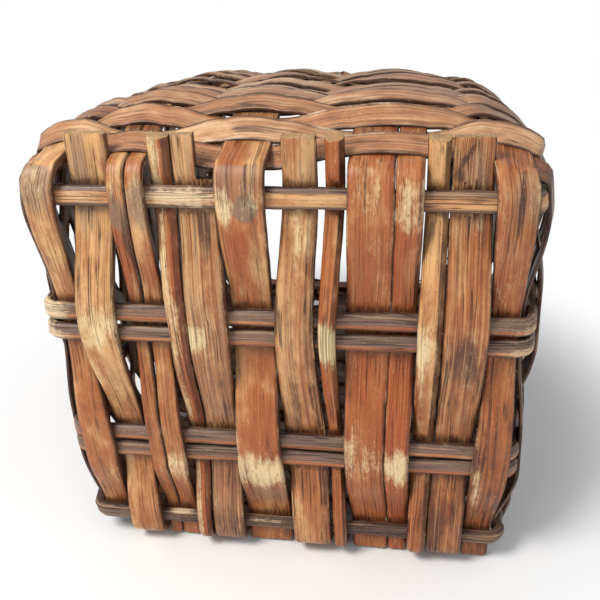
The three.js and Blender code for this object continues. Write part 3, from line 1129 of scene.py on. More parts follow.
        # Paler rubbed wood, and the painted glints on the rods
        shown = overlaid(shown, "Worn", total(wear_and_highlight, (lean, 0.9), (speck, 1.1), (stain, 1.4)))
        shown = overlaid(shown, "Cut", cut)
        shown = over(shown, "Tan", nodes.span(fibre, 0.52, 0.68), total(0.05, (fibrous, 0.5)))
        fine_lines = total(0.12, (fibrous, 0.5), (wear_and_highlight, 0.12))
        shown = over(shown, "Deep", under(fibre, 0.34, 0.5), fine_lines)
        shown = over(shown, "Tan", nodes.span(speck, 0.12, 0.2), SPECK_STRENGTH)
        shown = over(shown, "Deep", under(speck, -0.2, -0.13), PIT_STRENGTH)
        open_crack = nodes.math("MULTIPLY", crack, nodes.math("SUBTRACT", 1.0, cut))
        crack_share = nodes.math("MULTIPLY", open_crack, total(0.4, (fibrous, 0.55)))
        nodes.put(result.inputs["Colour"], nodes.blend(crack_share, shown, CRACK_COLOUR))
        roughness = total(0.0, (lean, 0.3), (speck, 0.3), (wear_and_highlight, 0.2), (grey, 0.12))
        nodes.put(result.inputs["Roughness"], roughness)
        ridges = nodes.math("MULTIPLY", fibre, total(0.25, (fibrous, 0.9)))
        height = total(ridges, (streak, 0.4), (speck, 0.2), (crack, -1.0))
        nodes.put(result.inputs["Height"], height)
        return tree


COLOUR_TITLES = ("Clean", "Tan", "Red", "Deep", "Grey", "Worn", "Bark", "Cut", "Side")
CRACK_COLOUR = paint(38, 24, 18)

STAVE_WOOD = WoodFinish(
    name="stave_wood",
    clean=paint(167, 100, 55),
    tan=paint(222, 171, 114),
    red=paint(163, 78, 33),
    deep=paint(74, 42, 30),
    grey=paint(146, 118, 94),
    worn=paint(230, 208, 160),
    bark=paint(132, 106, 86),
    cut=paint(176, 142, 100),
    side=paint(102, 52, 40),
    roughness=0.44,
    coat=0.15,
    bump=0.7,
)
ROD_WOOD = WoodFinish(
    name="rod_wood",
    clean=paint(180, 114, 66),
    tan=paint(226, 176, 122),
    red=paint(172, 86, 42),
    deep=paint(70, 46, 38),
    grey=paint(138, 116, 102),
    worn=paint(228, 202, 164),
    bark=paint(114, 92, 80),
    cut=paint(176, 142, 104),
    side=paint(90, 62, 52),
    roughness=0.42,
    coat=0.15,
    bump=1.0,
)
WEAVER_WOOD = WoodFinish(
    name="weaver_wood",
    clean=paint(180, 126, 86),
    tan=paint(232, 192, 148),
    red=paint(168, 106, 72),
    deep=paint(68, 44, 34),
    grey=paint(156, 134, 114),
    worn=paint(228, 202, 168),
    bark=paint(92, 70, 60),
    cut=paint(186, 142, 102),
    side=paint(96, 58, 42),
    roughness=0.4,
    coat=0.2,
    bump=0.5,
)
RIM_WOOD = WoodFinish(
    name="rim_wood",
    clean=paint(158, 98, 60),
    tan=paint(198, 146, 98),
    red=paint(136, 72, 42),
    deep=paint(72, 44, 32),
    grey=paint(140, 112, 92),
    worn=paint(214, 180, 140),
    bark=paint(88, 68, 58),
    cut=paint(180, 138, 98),
    side=paint(92, 56, 40),
    roughness=0.48,
    coat=0.1,
    bump=0.6,
)


@dataclass(frozen=True)
class StaveSize:
    """One stave: its edges from the base's middle at each row, its looks and its shape."""

    number: int
    rows: tuple[tuple[float, float], ...]
    top: Look
    low: Look
    crown: float = 0.001
    bevels: tuple[float, float] = (0.12, 0.12)
    stripes: tuple[Stripe, ...] = ()
    broken_share: float = 0.0
    stub_lift: float = 0.0
    cut_slant: float = 0.0
    over_first: bool = True

    @property
    def end_edges(self) -> tuple[float, float]:
        """Return the edges at the row beside which the stave bends into its wall."""
        return self.rows[0 if self.over_first else -1]

    @property
    def side(self) -> WallSide:
        """Return the wall into which the stave bends."""
        return WallSide.TOP if self.over_first else WallSide.BOTTOM

    def passes_over(self, row: int) -> bool:
        """Return True where the stave passes over the rods of a row."""
        return self.over_first == (row % 2 == 0)


# Heights of the rods from the middle of the base, row by row from the top
ROD_ROWS = ((0.1545,), (0.049, 0.029), (-0.0775, -0.0952), (-0.175,))
ROWS = range(len(ROD_ROWS))


def stave(number: int, *edges: float, top: Look, low: Look, **shape: object) -> StaveSize:
    """Return one stave's sizes.

    Args:
        number: Its number from the left.
        *edges: Its left and right edges in millimetres at rows A, B, C and D.
        top: Its look near the top of the base.
        low: Its look near the bottom.
        **shape: Its crown, bevels, stripes and broken part, where it has them.

    Returns:
        The stave's sizes, in metres.
    """
    rows = tuple((edges[i] / 1000, edges[i + 1] / 1000) for i in range(0, len(edges), 2))
    return StaveSize(number, rows, top, low, **shape)


def group(over_first: bool, *staves: StaveSize) -> tuple[StaveSize, ...]:
    """Return a group of staves that pass over the same rows.

    Args:
        over_first: True where they pass over rows A and C, False where over B and D.
        *staves: The staves' sizes.

    Returns:
        The staves, each with its way through the rods.
    """
    return tuple(replace(stave, over_first=over_first) for stave in staves)


# The staves of the base from the left, group by group. Their DARK stripes, all on the right half, are
# painted shade on the side away from the light
STAVE_GROUPS = (
    group(
        True,
        stave(1, -200, -173, -193, -175, -188, -157, -185, -161,
              top=Look(0.74, 0.15, 0.12, 0.12), low=Look(0.36, 0.35, 0.12, 0.1),
              bevels=(0.3, 0.2), stub_lift=0.021),
    ),
    group(
        False,
        stave(2, -163, -128.8, -173, -139, -157, -130.5, -154, -122,
              top=Look(0.9, 0.1, 0.2, 0.6), low=Look(0.56, 0.3, 0.2, 0.3)),
    ),
    group(
        True,
        stave(3, -128, -113.3, -130, -118.7, -124.4, -110, -120.6, -108.7,
              top=Look(0.6, 0.35, 0.15, 0.3), low=Look(0.32, 0.4, 0.1, 0.2),
              bevels=(0.2, 0.45),
              stripes=(Stripe(Mark.DARK, 0.75, 1.0, 0.8),)),
        stave(4, -112.7, -98.6, -116, -98, -109.3, -91.2, -108.2, -92.2,
              top=Look(0.65, 0.3, 0.15, 0.3), low=Look(0.4, 0.45, 0.1, 0.2),
              bevels=(0.2, 0.2)),
    ),
    group(
        False,
        stave(5, -96.4, -78.3, -92.4, -75.7, -89.2, -73.7, -86.8, -72.3,
              top=Look(0.65, 0.35, 0.3, 0.2), low=Look(0.45, 0.65, 0.0, 0.3),
              crown=0.0042, bevels=(0.55, 0.6), cut_slant=0.35,
              stripes=(Stripe(Mark.WEAR_AND_HIGHLIGHT, -0.8, -0.1, 0.62), Stripe(Mark.GREY, -0.9, 0.0, 0.4),
                       Stripe(Mark.DARK, 0.4, 1.0, 0.6), Stripe(Mark.RED, 0.1, 1.0, 1.0))),
        stave(6, -77.6, -45.5, -75, -40.5, -72.9, -43.9, -70.9, -41.6,
              top=Look(0.74, 0.15, 0.45, 0.9), low=Look(0.27, 0.25, 0.45, 0.8),
              crown=0.0014, broken_share=0.56),
    ),
    group(
        True,
        stave(7, -43, -3.5, -40, -5, -43, -2, -40.6, 2,
              top=Look(0.68, 0.35, 0.15, 0.2), low=Look(0.42, 0.55, 0.1, 0.2),
              crown=0.0006,
              stripes=(Stripe(Mark.RED, -0.8, -0.1, 0.6), Stripe(Mark.DARK, 0.1, 0.7, 0.2))),
    ),
    group(
        False,
        stave(8, 8, 35, -2.5, 30, 0.5, 37, 6, 41,
              top=Look(0.78, 0.15, 0.4, 0.6), low=Look(0.42, 0.35, 0.2, 0.5),
              crown=0.0026, bevels=(0.2, 0.45), cut_slant=0.2,
              stripes=(Stripe(Mark.DARK, 0.45, 0.9, 0.3),)),
        stave(9, 41, 56, 33.5, 48, 40, 51, 43.5, 56,
              top=Look(0.5, 0.5, 0.15, 0.2), low=Look(0.45, 0.5, 0.1, 0.2),
              crown=0.004, bevels=(0.5, 0.5), cut_slant=0.4,
              stripes=(Stripe(Mark.DARK, 0.45, 1.0, 0.6),)),
    ),
    group(
        True,
        stave(10, 59, 94.6, 55, 92.2, 53.5, 89, 60, 92.8,
              top=Look(0.5, 0.6, 0.05, 0.25), low=Look(0.36, 0.62, 0.02, 0.2),
              crown=0.0012, bevels=(0.2, 0.2)),
        stave(11, 94.7, 116, 92.3, 113, 89.1, 111, 92.9, 110.5,
              top=Look(0.55, 0.85, 0.0, 0.25), low=Look(0.3, 0.9, 0.0, 0.2),
              bevels=(0.2, 0.3),
              stripes=(Stripe(Mark.DARK, 0.7, 1.0, 0.5),)),
    ),
    group(
        False,
        stave(12, 117, 134.6, 114, 134.4, 112.5, 130.4, 111.4, 127.8,
              top=Look(0.9, 0.3, 0.0, 0.25), low=Look(0.38, 0.35, 0.12, 0.4),
              crown=0.004, bevels=(0.4, 0.5), cut_slant=0.38,
              stripes=(Stripe(Mark.DARK, 0.5, 1.0, 0.75),)),
        stave(13, 135.4, 166.4, 134.7, 171.4, 131.4, 164, 129.2, 160,
              top=Look(0.54, 0.3, 0.2, 0.85), low=Look(0.16, 0.35, 0.2, 0.7),
              crown=0.0014),
    ),
    group(
        True,
        stave(14, 169, 200, 172.2, 194.5, 165, 197, 161.4, 186,
              top=Look(0.5, 0.5, 0.08, 0.5), low=Look(0.2, 0.4, 0.12, 0.3),
              bevels=(0.15, 0.3)),
    ),
)


def patches(mark: Mark, *places: tuple[float, ...]) -> tuple[Patch, ...]:
    """Return patches of one kind.

    Args:
        mark: What they do to the wood.
        *places: For each, its middle across, its middle over the floor, its reach across and its
            reach up in millimetres, then its strength and, where it has one, its lean.

    Returns:
        The patches, in metres.
    """
    return tuple(Patch(mark, *(size / 1000 for size in place[:4]), *place[4:]) for place in places)


# Marks on the base that the photo shows
PATCHES = (
    *patches(
        Mark.WEAR_AND_HIGHLIGHT,
        (-194, 370, 12, 30, 0.4), (-157, 240, 40, 22, 0.66), (-166, 200, 6, 50, 0.4),
        (-117, 372, 10, 14, 0.35), (-106, 366, 14, 12, 0.4), (-90, 395, 6, 30, 0.4),
        (-88, 243, 12, 34, 0.62), (-68, 238, 12, 16, 0.72), (-36, 358, 9, 18, 0.75),
        (-10, 362, 10, 12, 0.42), (-22, 98, 50, 21, 0.92), (20, 326, 10, 34, 0.5),
        (40, 238, 12, 19, 1.6), (119, 238, 9, 22, 0.95), (118, 200, 4, 60, 0.45),
        (-101, 98, 14, 20, 0.55), (101, 113, 12, 18, 0.9), (59, 122, 5, 34, 0.55),
        (78, 116, 10, 20, 0.42), (107, 358, 12, 24, 0.55), (70, 372, 12, 20, 0.42),
        (158, 352, 5, 30, 0.4), (194, 362, 5, 16, 0.55), (168, 112, 5, 34, 0.5),
        (-140, 12, 18, 7, 0.8), (-80, 10, 14, 7, 0.6), (50, 10, 12, 8, 0.6),
    ),
    *patches(
        Mark.GREY,
        (-190, 372, 24, 34, 0.8), (-153, 370, 10, 60, 0.7), (-106, 356, 12, 22, 0.8),
        (-24, 378, 26, 26, 0.6), (-22, 66, 50, 16, 0.6), (153, 370, 14, 40, 0.6),
        (190, 368, 14, 30, 0.6),
    ),
    *patches(Mark.BARK, (-121, 349, 10, 18, 0.7), (-20, 354, 11, 10, 1.0)),
    *patches(
        Mark.DARK,
        (-117, 330, 4, 24, 1.0), (-56, 331, 5, 22, 1.0), (-18, 384, 1.8, 18, 1.0),
        (12, 150, 4, 90, 0.6), (145, 391, 2.6, 12, 1.0, 0.55), (141, 378, 4, 8, 0.9),
        (153, 226, 15, 28, 0.8), (186, 366, 1.7, 36, 1.5, 0.04), (-50, 30, 40, 20, 0.5),
    ),
    *patches(
        Mark.RED,
        (-124, 300, 9, 45, 1.0), (-103, 300, 10, 30, 0.8), (-29, 318, 12, 22, 1.0),
        (-14.5, 142, 3, 16, 1.0, 0.17), (80, 300, 20, 50, 0.7),
    ),
)

# Marks on the rods
ROD_PATCHES = (
    *patches(
        Mark.WEAR_AND_HIGHLIGHT,
        (-214, 252, 32, 14, 1.3), (-212, 231, 26, 10, 1.1), (-67, 360, 36, 7, 1.0),
        (-150, 360, 20, 5, 0.4), (196, 20, 16, 12, 0.5), (-200, 22, 20, 8, 0.4),
        # (-107, 35.5) and (-19, 33.5) on row D, and (-64, 140.7) and (-60, 119.3) by row C, are pale
        # scratches that also stand for painted glints
        (205, 240, 14, 18, 0.55), (-107, 35.5, 14, 2.2, 0.8), (-19, 33.5, 18, 2.2, 0.7),
        (-64, 140.7, 30, 2.4, 0.6), (-60, 119.3, 20, 1.8, 0.5),
    ),
    *patches(Mark.RED, (-150, 226, 60, 4, 0.9), (160, 358, 60, 12, 0.55)),
    *patches(Mark.DARK, (60, 30, 170, 20, 1.15)),
)


@dataclass(frozen=True)
class RodFace:
    """The rods of one row: middle and half width of the split face, extra width, and look."""

    middle: float
    half: float
    widening: float
    look: Look


# Row by row from the top
ROD_FACES = (
    RodFace(0.0, 0.55, 1.28, Look(0.75, 0.35, 0.08, 0.6)),
    RodFace(-0.5, 0.28, 1.12, Look(0.5, 0.55, 0.25, 0.5)),
    RodFace(-0.5, 0.28, 1.12, Look(0.42, 0.65, 0.15, 0.5)),
    RodFace(0.7, 0.08, 1.0, Look(0.2, 0.1, 0.9, 0.6)),
)


def blend_rows(values: tuple[float, ...], heights: tuple[float, ...], height: float) -> float:
    """Return a value that runs straight from row to row, with softened bends.

    Args:
        values: Value at each row, from the top.
        heights: Height of each row, from the top.
        height: Where the value is wanted.

    Returns:
        The value there; beyond the rows it keeps the last one.
    """

    def straight(at: float) -> float:
        """Return the value without softening.

        Args:
            at: Height where it is wanted.

        Returns:
            The value there.
        """
        held = min(heights[0], max(heights[-1], at))
        for i, (upper, lower) in enumerate(zip(heights, heights[1:])):
            if held >= lower:
                return mix(values[i], values[i + 1], (upper - held) / (upper - lower))
        return values[-1]

    steps = (-1.0, -0.5, 0.0, 0.5, 1.0)
    return sum(straight(height + step * BEND_SOFTENING) for step in steps) / len(steps)


@dataclass
class BasketPlan:
    """Where everything lies: the walls, the rows of rods and the stakes in weaving order."""

    walls: WallShape = field(default_factory=WallShape)
    row_count: int = 20
    row_gap: float = 0.0026
    first_row_room: float = 0.0024
    last_row_room: float = 0.00394
    stakes: list[Stake] = field(init=False)
    climb_steps: int = field(init=False)
    under_count: int = field(init=False)

    def __post_init__(self) -> None:
        """Lay out the stakes: up the left wall, over the top, down the right and back below."""
        tops = [staves for staves in STAVE_GROUPS if staves[0].over_first]
        bottoms = [staves for staves in STAVE_GROUPS if not staves[0].over_first][::-1]
        self.under_count = len(bottoms)
        self.climb_steps = len(bottoms) + 1
        rights = [self._rod_stake(WallSide.RIGHT, row) for row in ROWS]
        lefts = [self._rod_stake(WallSide.LEFT, row) for row in reversed(ROWS)]
        over = [self._group_stake(staves, 0.0) for staves in tops]
        under = [self._group_stake(staves, (i + 1) / self.climb_steps) for i, staves in enumerate(bottoms)]
        self.stakes = [*lefts, *over, *rights, *under]

    def _rod_stake(self, side: WallSide, row: int) -> Stake:
        """Return the stake that a row of rods makes in a side wall."""
        return Stake(side, *self.row_edges(row), ROD_THICK, 0.0, self.walls)

    def _group_stake(self, staves: tuple[StaveSize, ...], climb: float) -> Stake:
        """Return the stake that a group of staves makes in the top or the bottom wall.

        Args:
            staves: The group.
            climb: How far the weaving has climbed there, as a share of a row.

        Returns:
            The stake.
        """
        edges = [edge for stave in staves for edge in stave.end_edges]
        return Stake(staves[0].side, min(edges), max(edges), STAVE_THICK, climb, self.walls)

    def rod_heights(self, row: int) -> list[float]:
        """Return the heights of a row's rods over the floor."""
        return [self.walls.centre_height + height for height in ROD_ROWS[row]]

    def row_edges(self, row: int) -> tuple[float, float]:
        """Return the lowest and the highest edge of a row."""
        heights = self.rod_heights(row)
        return min(heights) - ROD_WIDE / 2, max(heights) + ROD_WIDE / 2

    def row_middle(self, row: int) -> float:
        """Return the height of a row's middle."""
        low, high = self.row_edges(row)
        return (low + high) / 2

    @property
    def rim_start(self) -> float:
        """Return the depth at which the rim starts."""
        return self.walls.mouth_depth - RIM_HEIGHT

    @property
    def stake_end(self) -> float:
        """Return the depth at which the stakes end."""
        return self.walls.mouth_depth - STAKE_END_BELOW_RIM

    @property
    def row_start(self) -> float:
        """Return the depth at which the weaving starts."""
        return CROSSING + STAVE_THICK / 2 + self.first_row_room

    @property
    def row_pitch(self) -> float:
        """Return the distance from one row of weaving to the next."""
        room = self.rim_start - self.last_row_room - self.row_start
        return (room + self.row_gap) / (self.row_count + 1 / self.climb_steps)

    @property
    def weaver_wide(self) -> float:
        """Return the width of a weaving splint."""
        return self.row_pitch - self.row_gap


@dataclass(frozen=True)
class Visit:
    """A strip's meeting with a stake: its depth there and the side that it passes."""

    stake: Stake
    depth: float
    side: int
    part: str = "whole"


@dataclass
class RingRoute:
    """The route of a strip that runs round the ring of stakes.

    Over a stake of the top wall it lies off by the swing and rises by the arch in the middle.
    """

    thick: float
    wide: float
    step: float = 0.004
    corner_pull: float = 1.15
    straight_pull: float = 1.0
    stake_step: float = 1.6
    follows_slope: bool = False
    swing: float = 0.0
    arch: float = 0.0

    def sections(self, visits: list[Visit]) -> list[Section]:
        """Return the strip's cross-sections.

        Args:
            visits: The stakes that it meets, in order.

        Returns:
            The sections, from its start to its end.
        """
        made: list[Section] = []
        last: tuple[Vector, WallFrame, Visit, float] | None = None
        for visit in visits:
            frame_here = visit.stake.frame(visit.depth)
            slope = self._slope(visit.stake, visit.depth)
            on_top = visit.side > 0 and visit.stake.side is WallSide.TOP
            lift = visit.side * ((visit.stake.thick + self.thick) / 2 + CLEARANCE)
            lift += self.swing if on_top else 0.0
            half = (visit.stake.high - visit.stake.low) / 2
            reach = half * frame_here.narrowing + EDGE_MARGIN
            first = frame_here.place(BUTT_GAP / 2 if visit.part == "start" else -reach, lift)
            final = frame_here.place(-BUTT_GAP / 2 if visit.part == "end" else reach, lift)
            if last:
                self._cross(made, last, (first, frame_here, visit, slope))
            arch = self.arch if on_top else 0.0
            self._follow(made, (first, final), frame_here, slope, arch)
            last = (final, frame_here, visit, slope)
        return made

    def _add(self, made: list[Section], point: Vector, outward: Vector, slope: float) -> None:
        """Add one section of the strip.

        Args:
            made: The sections so far.
            point: Middle of the section.
            outward: Direction away from the basket's middle line.
            slope: How fast the wall rises towards the mouth.
        """
        direction = Vector((outward.x, 0, outward.y)).normalized()
        onward = Vector((0, 1, 0))
        across = onward + direction * slope
        away = direction - onward * slope
        made.append(Section(point, across, away, self.wide, self.thick))

    def _slope(self, stake: Stake, depth: float) -> float:
        """Return how fast a wall rises towards the mouth beside a stake.

        Args:
            stake: The stake.
            depth: Distance from the base.

        Returns:
            The rise for each metre of depth, or 0 where the strip doesn't follow it.
        """
        if not self.follows_slope:
            return 0.0
        near = stake.frame(depth - SLOPE_REACH)
        far = stake.frame(depth + SLOPE_REACH)
        return (far.point - near.point).dot(near.outward) / (2 * SLOPE_REACH)

    def _follow(
        self, made: list[Section], ends: tuple[Vector, Vector], at: WallFrame, slope: float, arch: float
    ) -> None:
        """Run past a stake.

        Args:
            made: The sections so far.
            ends: Where the strip meets the stake and where it leaves it.
            at: The wall beside the stake.
            slope: How fast the wall rises towards the mouth.
            arch: How far the strip stands off in the middle.
        """
        first, final = ends
        count = max(2, round((final - first).length / (self.step * self.stake_step)))
        for i in range(count + 1):
            share = i / count
            lift = arch * 4 * share * (1 - share)
            self._add(made, first.lerp(final, share) + at.away * lift, at.outward, slope)

    def _cross(self, made: list[Section], start: tuple, end: tuple) -> None:
        """Run in a smooth curve from one stake to the next.

        Args:
            made: The sections so far.
            start: Where the strip leaves a stake: the point, the wall, the visit and the slope.
            end: The same where it meets the next stake.
        """
        point_a, at_a, visit_a, slope_a = start
        point_b, at_b, visit_b, slope_b = end
        corner = visit_a.stake.side is not visit_b.stake.side
        pull = (point_b - point_a).length * (self.corner_pull if corner else self.straight_pull)
        leave = at_a.round_wall * pull
        arrive = at_b.round_wall * pull
        count = max(3, round((point_b - point_a).length / self.step))
        for i in range(1, count):
            share = i / count
            point = hermite(point_a, point_b, leave, arrive, share)
            self._add(made, point, at_a.outward.lerp(at_b.outward, share), mix(slope_a, slope_b, share))


def finish_ends(sections: list[Section]) -> None:
    """Mark and slightly shrink both cut ends of a route.

    Args:
        sections: The route.
    """
    for last in (sections[0], sections[-1]):
        last.end = 1.0
        last.wide *= END_WIDTH
        last.thick *= END_THICKNESS


@dataclass
class Dressing:
    """The materials by finish, made once, and the way to hand over a piece."""

    shared: SharedEffects = field(default_factory=SharedEffects)
    made: dict[str, bpy.types.Material] = field(default_factory=dict)

    def hand_over(self, piece: bpy.types.Object, node: str, finish: WoodFinish) -> None:
        """Args:
            piece: The new piece.
            node: The CAD node that it replaces.
            finish: Its finish, which has the name of its material slot.
        """
        if finish.name not in self.made:
            self.made[finish.name] = finish.material(self.shared)
        piece.data.materials.append(self.made[finish.name])
        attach(piece, "root")
        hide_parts(node)
        log.info("%s: %d faces", piece.name, len(piece.data.polygons))


@dataclass
class BaseStaves:
    """The fourteen wide staves of the base, each bent round into the top or the bottom wall."""

    plan: BasketPlan
    dressing: Dressing
    base_step: float = 0.003
    wall_step: float = 0.006
    roll_steps: int = 8
    broken_length: float = 0.036
    roll_rise: float = 0.017
    # Painted shade, with some soiling, on a stave beside the rods that cross it, and how far it reaches
    rod_shade_and_dirt: float = 0.75
    rod_shade_and_dirt_reach: float = 0.011
    crown_reach: float = 0.012
    slant_reach: float = 0.014
    # Painted shade with soiling on the staves in the walls: all over the bottom wall, and growing over this
    # depth in the top wall
    bottom_wall_shade_and_dirt: float = 0.55
    wall_shade_and_dirt: float = 0.62
    wall_shade_and_dirt_depth: float = 0.060
    outline: tuple[int, int] = (23, 7)
    seed_step: float = 1.37
    plain_relief: float = 0.0002
    fibrous_relief: float = 0.0004
    edge_drop: float = 0.0008
    jag: float = 0.0015
    break_step: float = 0.0004
    marked_roll: float = 0.7

    def build(self) -> None:
        """Build and dress every stave."""
        for staves in STAVE_GROUPS:
            stake = self._stake_of(staves)
            for stave in staves:
                skin = SplintSkin(
                    name=f"split_stave_{stave.number:02d}",
                    outline=flat_outline(*self.outline),
                    seed=stave.number * self.seed_step,
                    look=stave.top,
                    low_look=stave.low,
                    patches=self._patches_on(stave),
                    stripes=stave.stripes,
                    relief=self.plain_relief + self.fibrous_relief * stave.top.fibrous,
                    bevels=stave.bevels,
                    edge_drop=self.edge_drop,
                    jag=self.jag,
                )
                piece = skin.build(self._route(stave, stake))
                self.dressing.hand_over(piece, f"stave_{stave.number:02d}", STAVE_WOOD)

    def _edges(self, stave: StaveSize, height: float) -> tuple[float, float]:
        """Return a stave's left and right edge at a height.

        Args:
            stave: The stave.
            height: Height over the floor.

        Returns:
            Both edges, from the base's middle.
        """
        heights = tuple(self.plan.row_middle(row) for row in ROWS)
        left = blend_rows(tuple(edges[0] for edges in stave.rows), heights, height)
        right = blend_rows(tuple(edges[1] for edges in stave.rows), heights, height)
        return left, right

    def _patches_on(self, stave: StaveSize) -> tuple[Patch, ...]:
        """Return the marks whose middle lies on a stave."""
        return tuple(patch for patch in PATCHES if patch.lies_on(*self._edges(stave, patch.z)))

    def _crown(self, stave: StaveSize, height: float) -> float:
        """Return how far a stave's face rises at a height; it is flat behind a rod.

        Args:
            stave: The stave.
            height: Height over the floor.

        Returns:
            The rise of the middle of its face.
        """
        far = math.inf
        for row in ROWS:
            low, high = self.plan.row_edges(row)
            if not stave.passes_over(row):
                far = min(far, max(low - height, height - high))
        return stave.crown * ease(far / self.crown_reach)

    def _stake_of(self, staves: tuple[StaveSize, ...]) -> Stake:
        """Return the stake that a group makes in its wall.

        Args:
            staves: The group.

        Returns:
            The stake.
        """
        side = staves[0].side
        low = min(stave.end_edges[0] for stave in staves)
        return next(stake for stake in self.plan.stakes if stake.side is side and stake.low == low)

    def _depth(self, stave: StaveSize, height: float) -> float:
        """Return how far behind the rods' middle a stave lies at a height.

        Args:
            stave: The stave.
            height: Height over the floor.

        Returns:
            The depth of its middle plane.
        """
        spans = []
        for row in ROWS:
            low, high = self.plan.row_edges(row)
            depth = -CROSSING if stave.passes_over(row) else CROSSING
            spans.append((low - EDGE_MARGIN, high + EDGE_MARGIN, depth))
        if height >= spans[0][0]:
            return spans[0][2]
        for upper, lower in zip(spans, spans[1:]):
            if height >= lower[1]:
                share = (upper[0] - height) / (upper[0] - lower[1])
                return mix(upper[2], lower[2], ease(share))
            if height >= lower[0]:
                return lower[2]
        return spans[-1][2]

    def _base_section(self, stave: StaveSize, height: float) -> Section:
        """Return a stave's section in the base.

        Args:
            stave: The stave.
            height: Height over the floor.

        Returns:
            The section.
        """
        left, right = self._edges(stave, height)
        depth = self._depth(stave, height)
        centre = Vector(((left + right) / 2, depth, height))
        made = Section(centre, RIGHTWARDS, FORWARDS, right - left, STAVE_THICK, in_base=True)
        # Painted shade, with some soiling, only where the stave passes behind the rods
        made.shade_and_dirt = self._shade_and_dirt_by_rods(height) * ease(0.5 + depth / CROSSING / 2)
        made.crown = self._crown(stave, height)
        return made

    def _shade_and_dirt_by_rods(self, height: float) -> float:
        """Return how much painted shade, with some soiling, darkens a stave beside the rods that cross it.

        Args:
            height: Height over the floor.

        Returns:
            The painted shade and soiling, from 0 to 1.
        """
        far = min(abs(height - edge) for row in ROWS for edge in self.plan.row_edges(row))
        return self.rod_shade_and_dirt * (1 - ease(far / self.rod_shade_and_dirt_reach))

    def _route(self, stave: StaveSize, stake: Stake) -> list[Section]:
        """Return a stave's sections, from its cut end over the base, round and along the wall.

        Args:
            stave: The stave.
            stake: The stake that its group makes.

        Returns:
            The sections.
        """
        walls = self.plan.walls
        reach = [stake.offset(edge) for edge in stave.end_edges]
        start = stake.frame(-CROSSING + ROLL_RADIUS)
        roll_height = self._wall_section(start, reach).centre.z
        if stave.over_first:
            first = walls.centre_height - walls.base_half_height - STUB_END_DROP + stave.stub_lift
            last = roll_height - self.roll_rise
        else:
            first = walls.centre_height + walls.base_half_height + CUT_END_RISE
            last = roll_height + ROLL_RADIUS
        count = round(abs(last - first) / self.base_step)
        heights = [mix(first, last, i / count) for i in range(count + 1)]
        if stave.broken_share:
            stump = first - self.broken_length
            heights = [height for height in heights if abs(height - stump) > self.base_step / 2]
            heights = sorted([*heights, stump, stump + self.break_step], reverse=True)
        sections = [self._base_section(stave, height) for height in heights]
        for section in sections:
            from_end = abs(section.centre.z - first)
            section.slant = stave.cut_slant * (1 - ease(from_end / self.slant_reach))
            if stave.broken_share and section.centre.z > stump:
                section.trim = 1 - stave.broken_share
        up = 1 if stave.over_first else -1
        sections += self._roll(sections[-1], self._wall_section(start, reach), up)
        end = self.plan.stake_end
        wall_count = round((end - start.depth) / self.wall_step)
        for i in range(wall_count + 1):
            at = stake.frame(mix(start.depth, end, i / wall_count))
            sections.append(self._wall_section(at, reach))
        finish_ends(sections)
        return sections

    def _wall_section(self, at: WallFrame, reach: list[float]) -> Section:
        """Return a stave's section in the wall.

        Args:
            at: The wall in the middle of the stake.
            reach: Where the stave's left and right edge lie along the ring.

        Returns:
            The section.
        """
        centre = at.place((reach[0] + reach[1]) / 2 * at.narrowing)
        direction = 1 if reach[1] > reach[0] else -1
        wide = abs(reach[1] - reach[0]) * at.narrowing
        made = Section(centre, at.round_wall * direction, at.away, wide, STAVE_THICK)
        # Painted shade with soiling: all over the bottom wall, growing with depth in the top wall
        shaded_and_soiled = self.wall_shade_and_dirt * ease(at.depth / self.wall_shade_and_dirt_depth)
        made.shade_and_dirt = self.bottom_wall_shade_and_dirt if at.outward.y < 0 else shaded_and_soiled
        return made

    def _roll(self, base: Section, wall: Section, up: int) -> list[Section]:
        """Return the rounded fold between the base and a wall.

        Args:
            base: Last section of the base.
            wall: First section of the wall.
            up: 1 where it folds over the top edge, -1 under the bottom edge.

        Returns:
            The sections between both.
        """
        made = []
        for i in range(1, self.roll_steps):
            share = i / self.roll_steps
            angle = share * math.pi / 2
            height = base.centre.z + (wall.centre.z - base.centre.z) * math.sin(angle)
            depth = wall.centre.y - (wall.centre.y - base.centre.y) * math.cos(angle)
            centre = Vector((mix(base.centre.x, wall.centre.x, share), depth, height))
            outward = Vector((0, -math.cos(angle), up * math.sin(angle)))
            across = base.across.lerp(wall.across, share).normalized()
            wide = mix(base.wide, wall.wide, share)
            marked = share < self.marked_roll
            section = Section(centre, across, outward, wide, STAVE_THICK, in_base=marked)
            section.crown = base.crown * (1 - share)
            made.append(section)
        return made


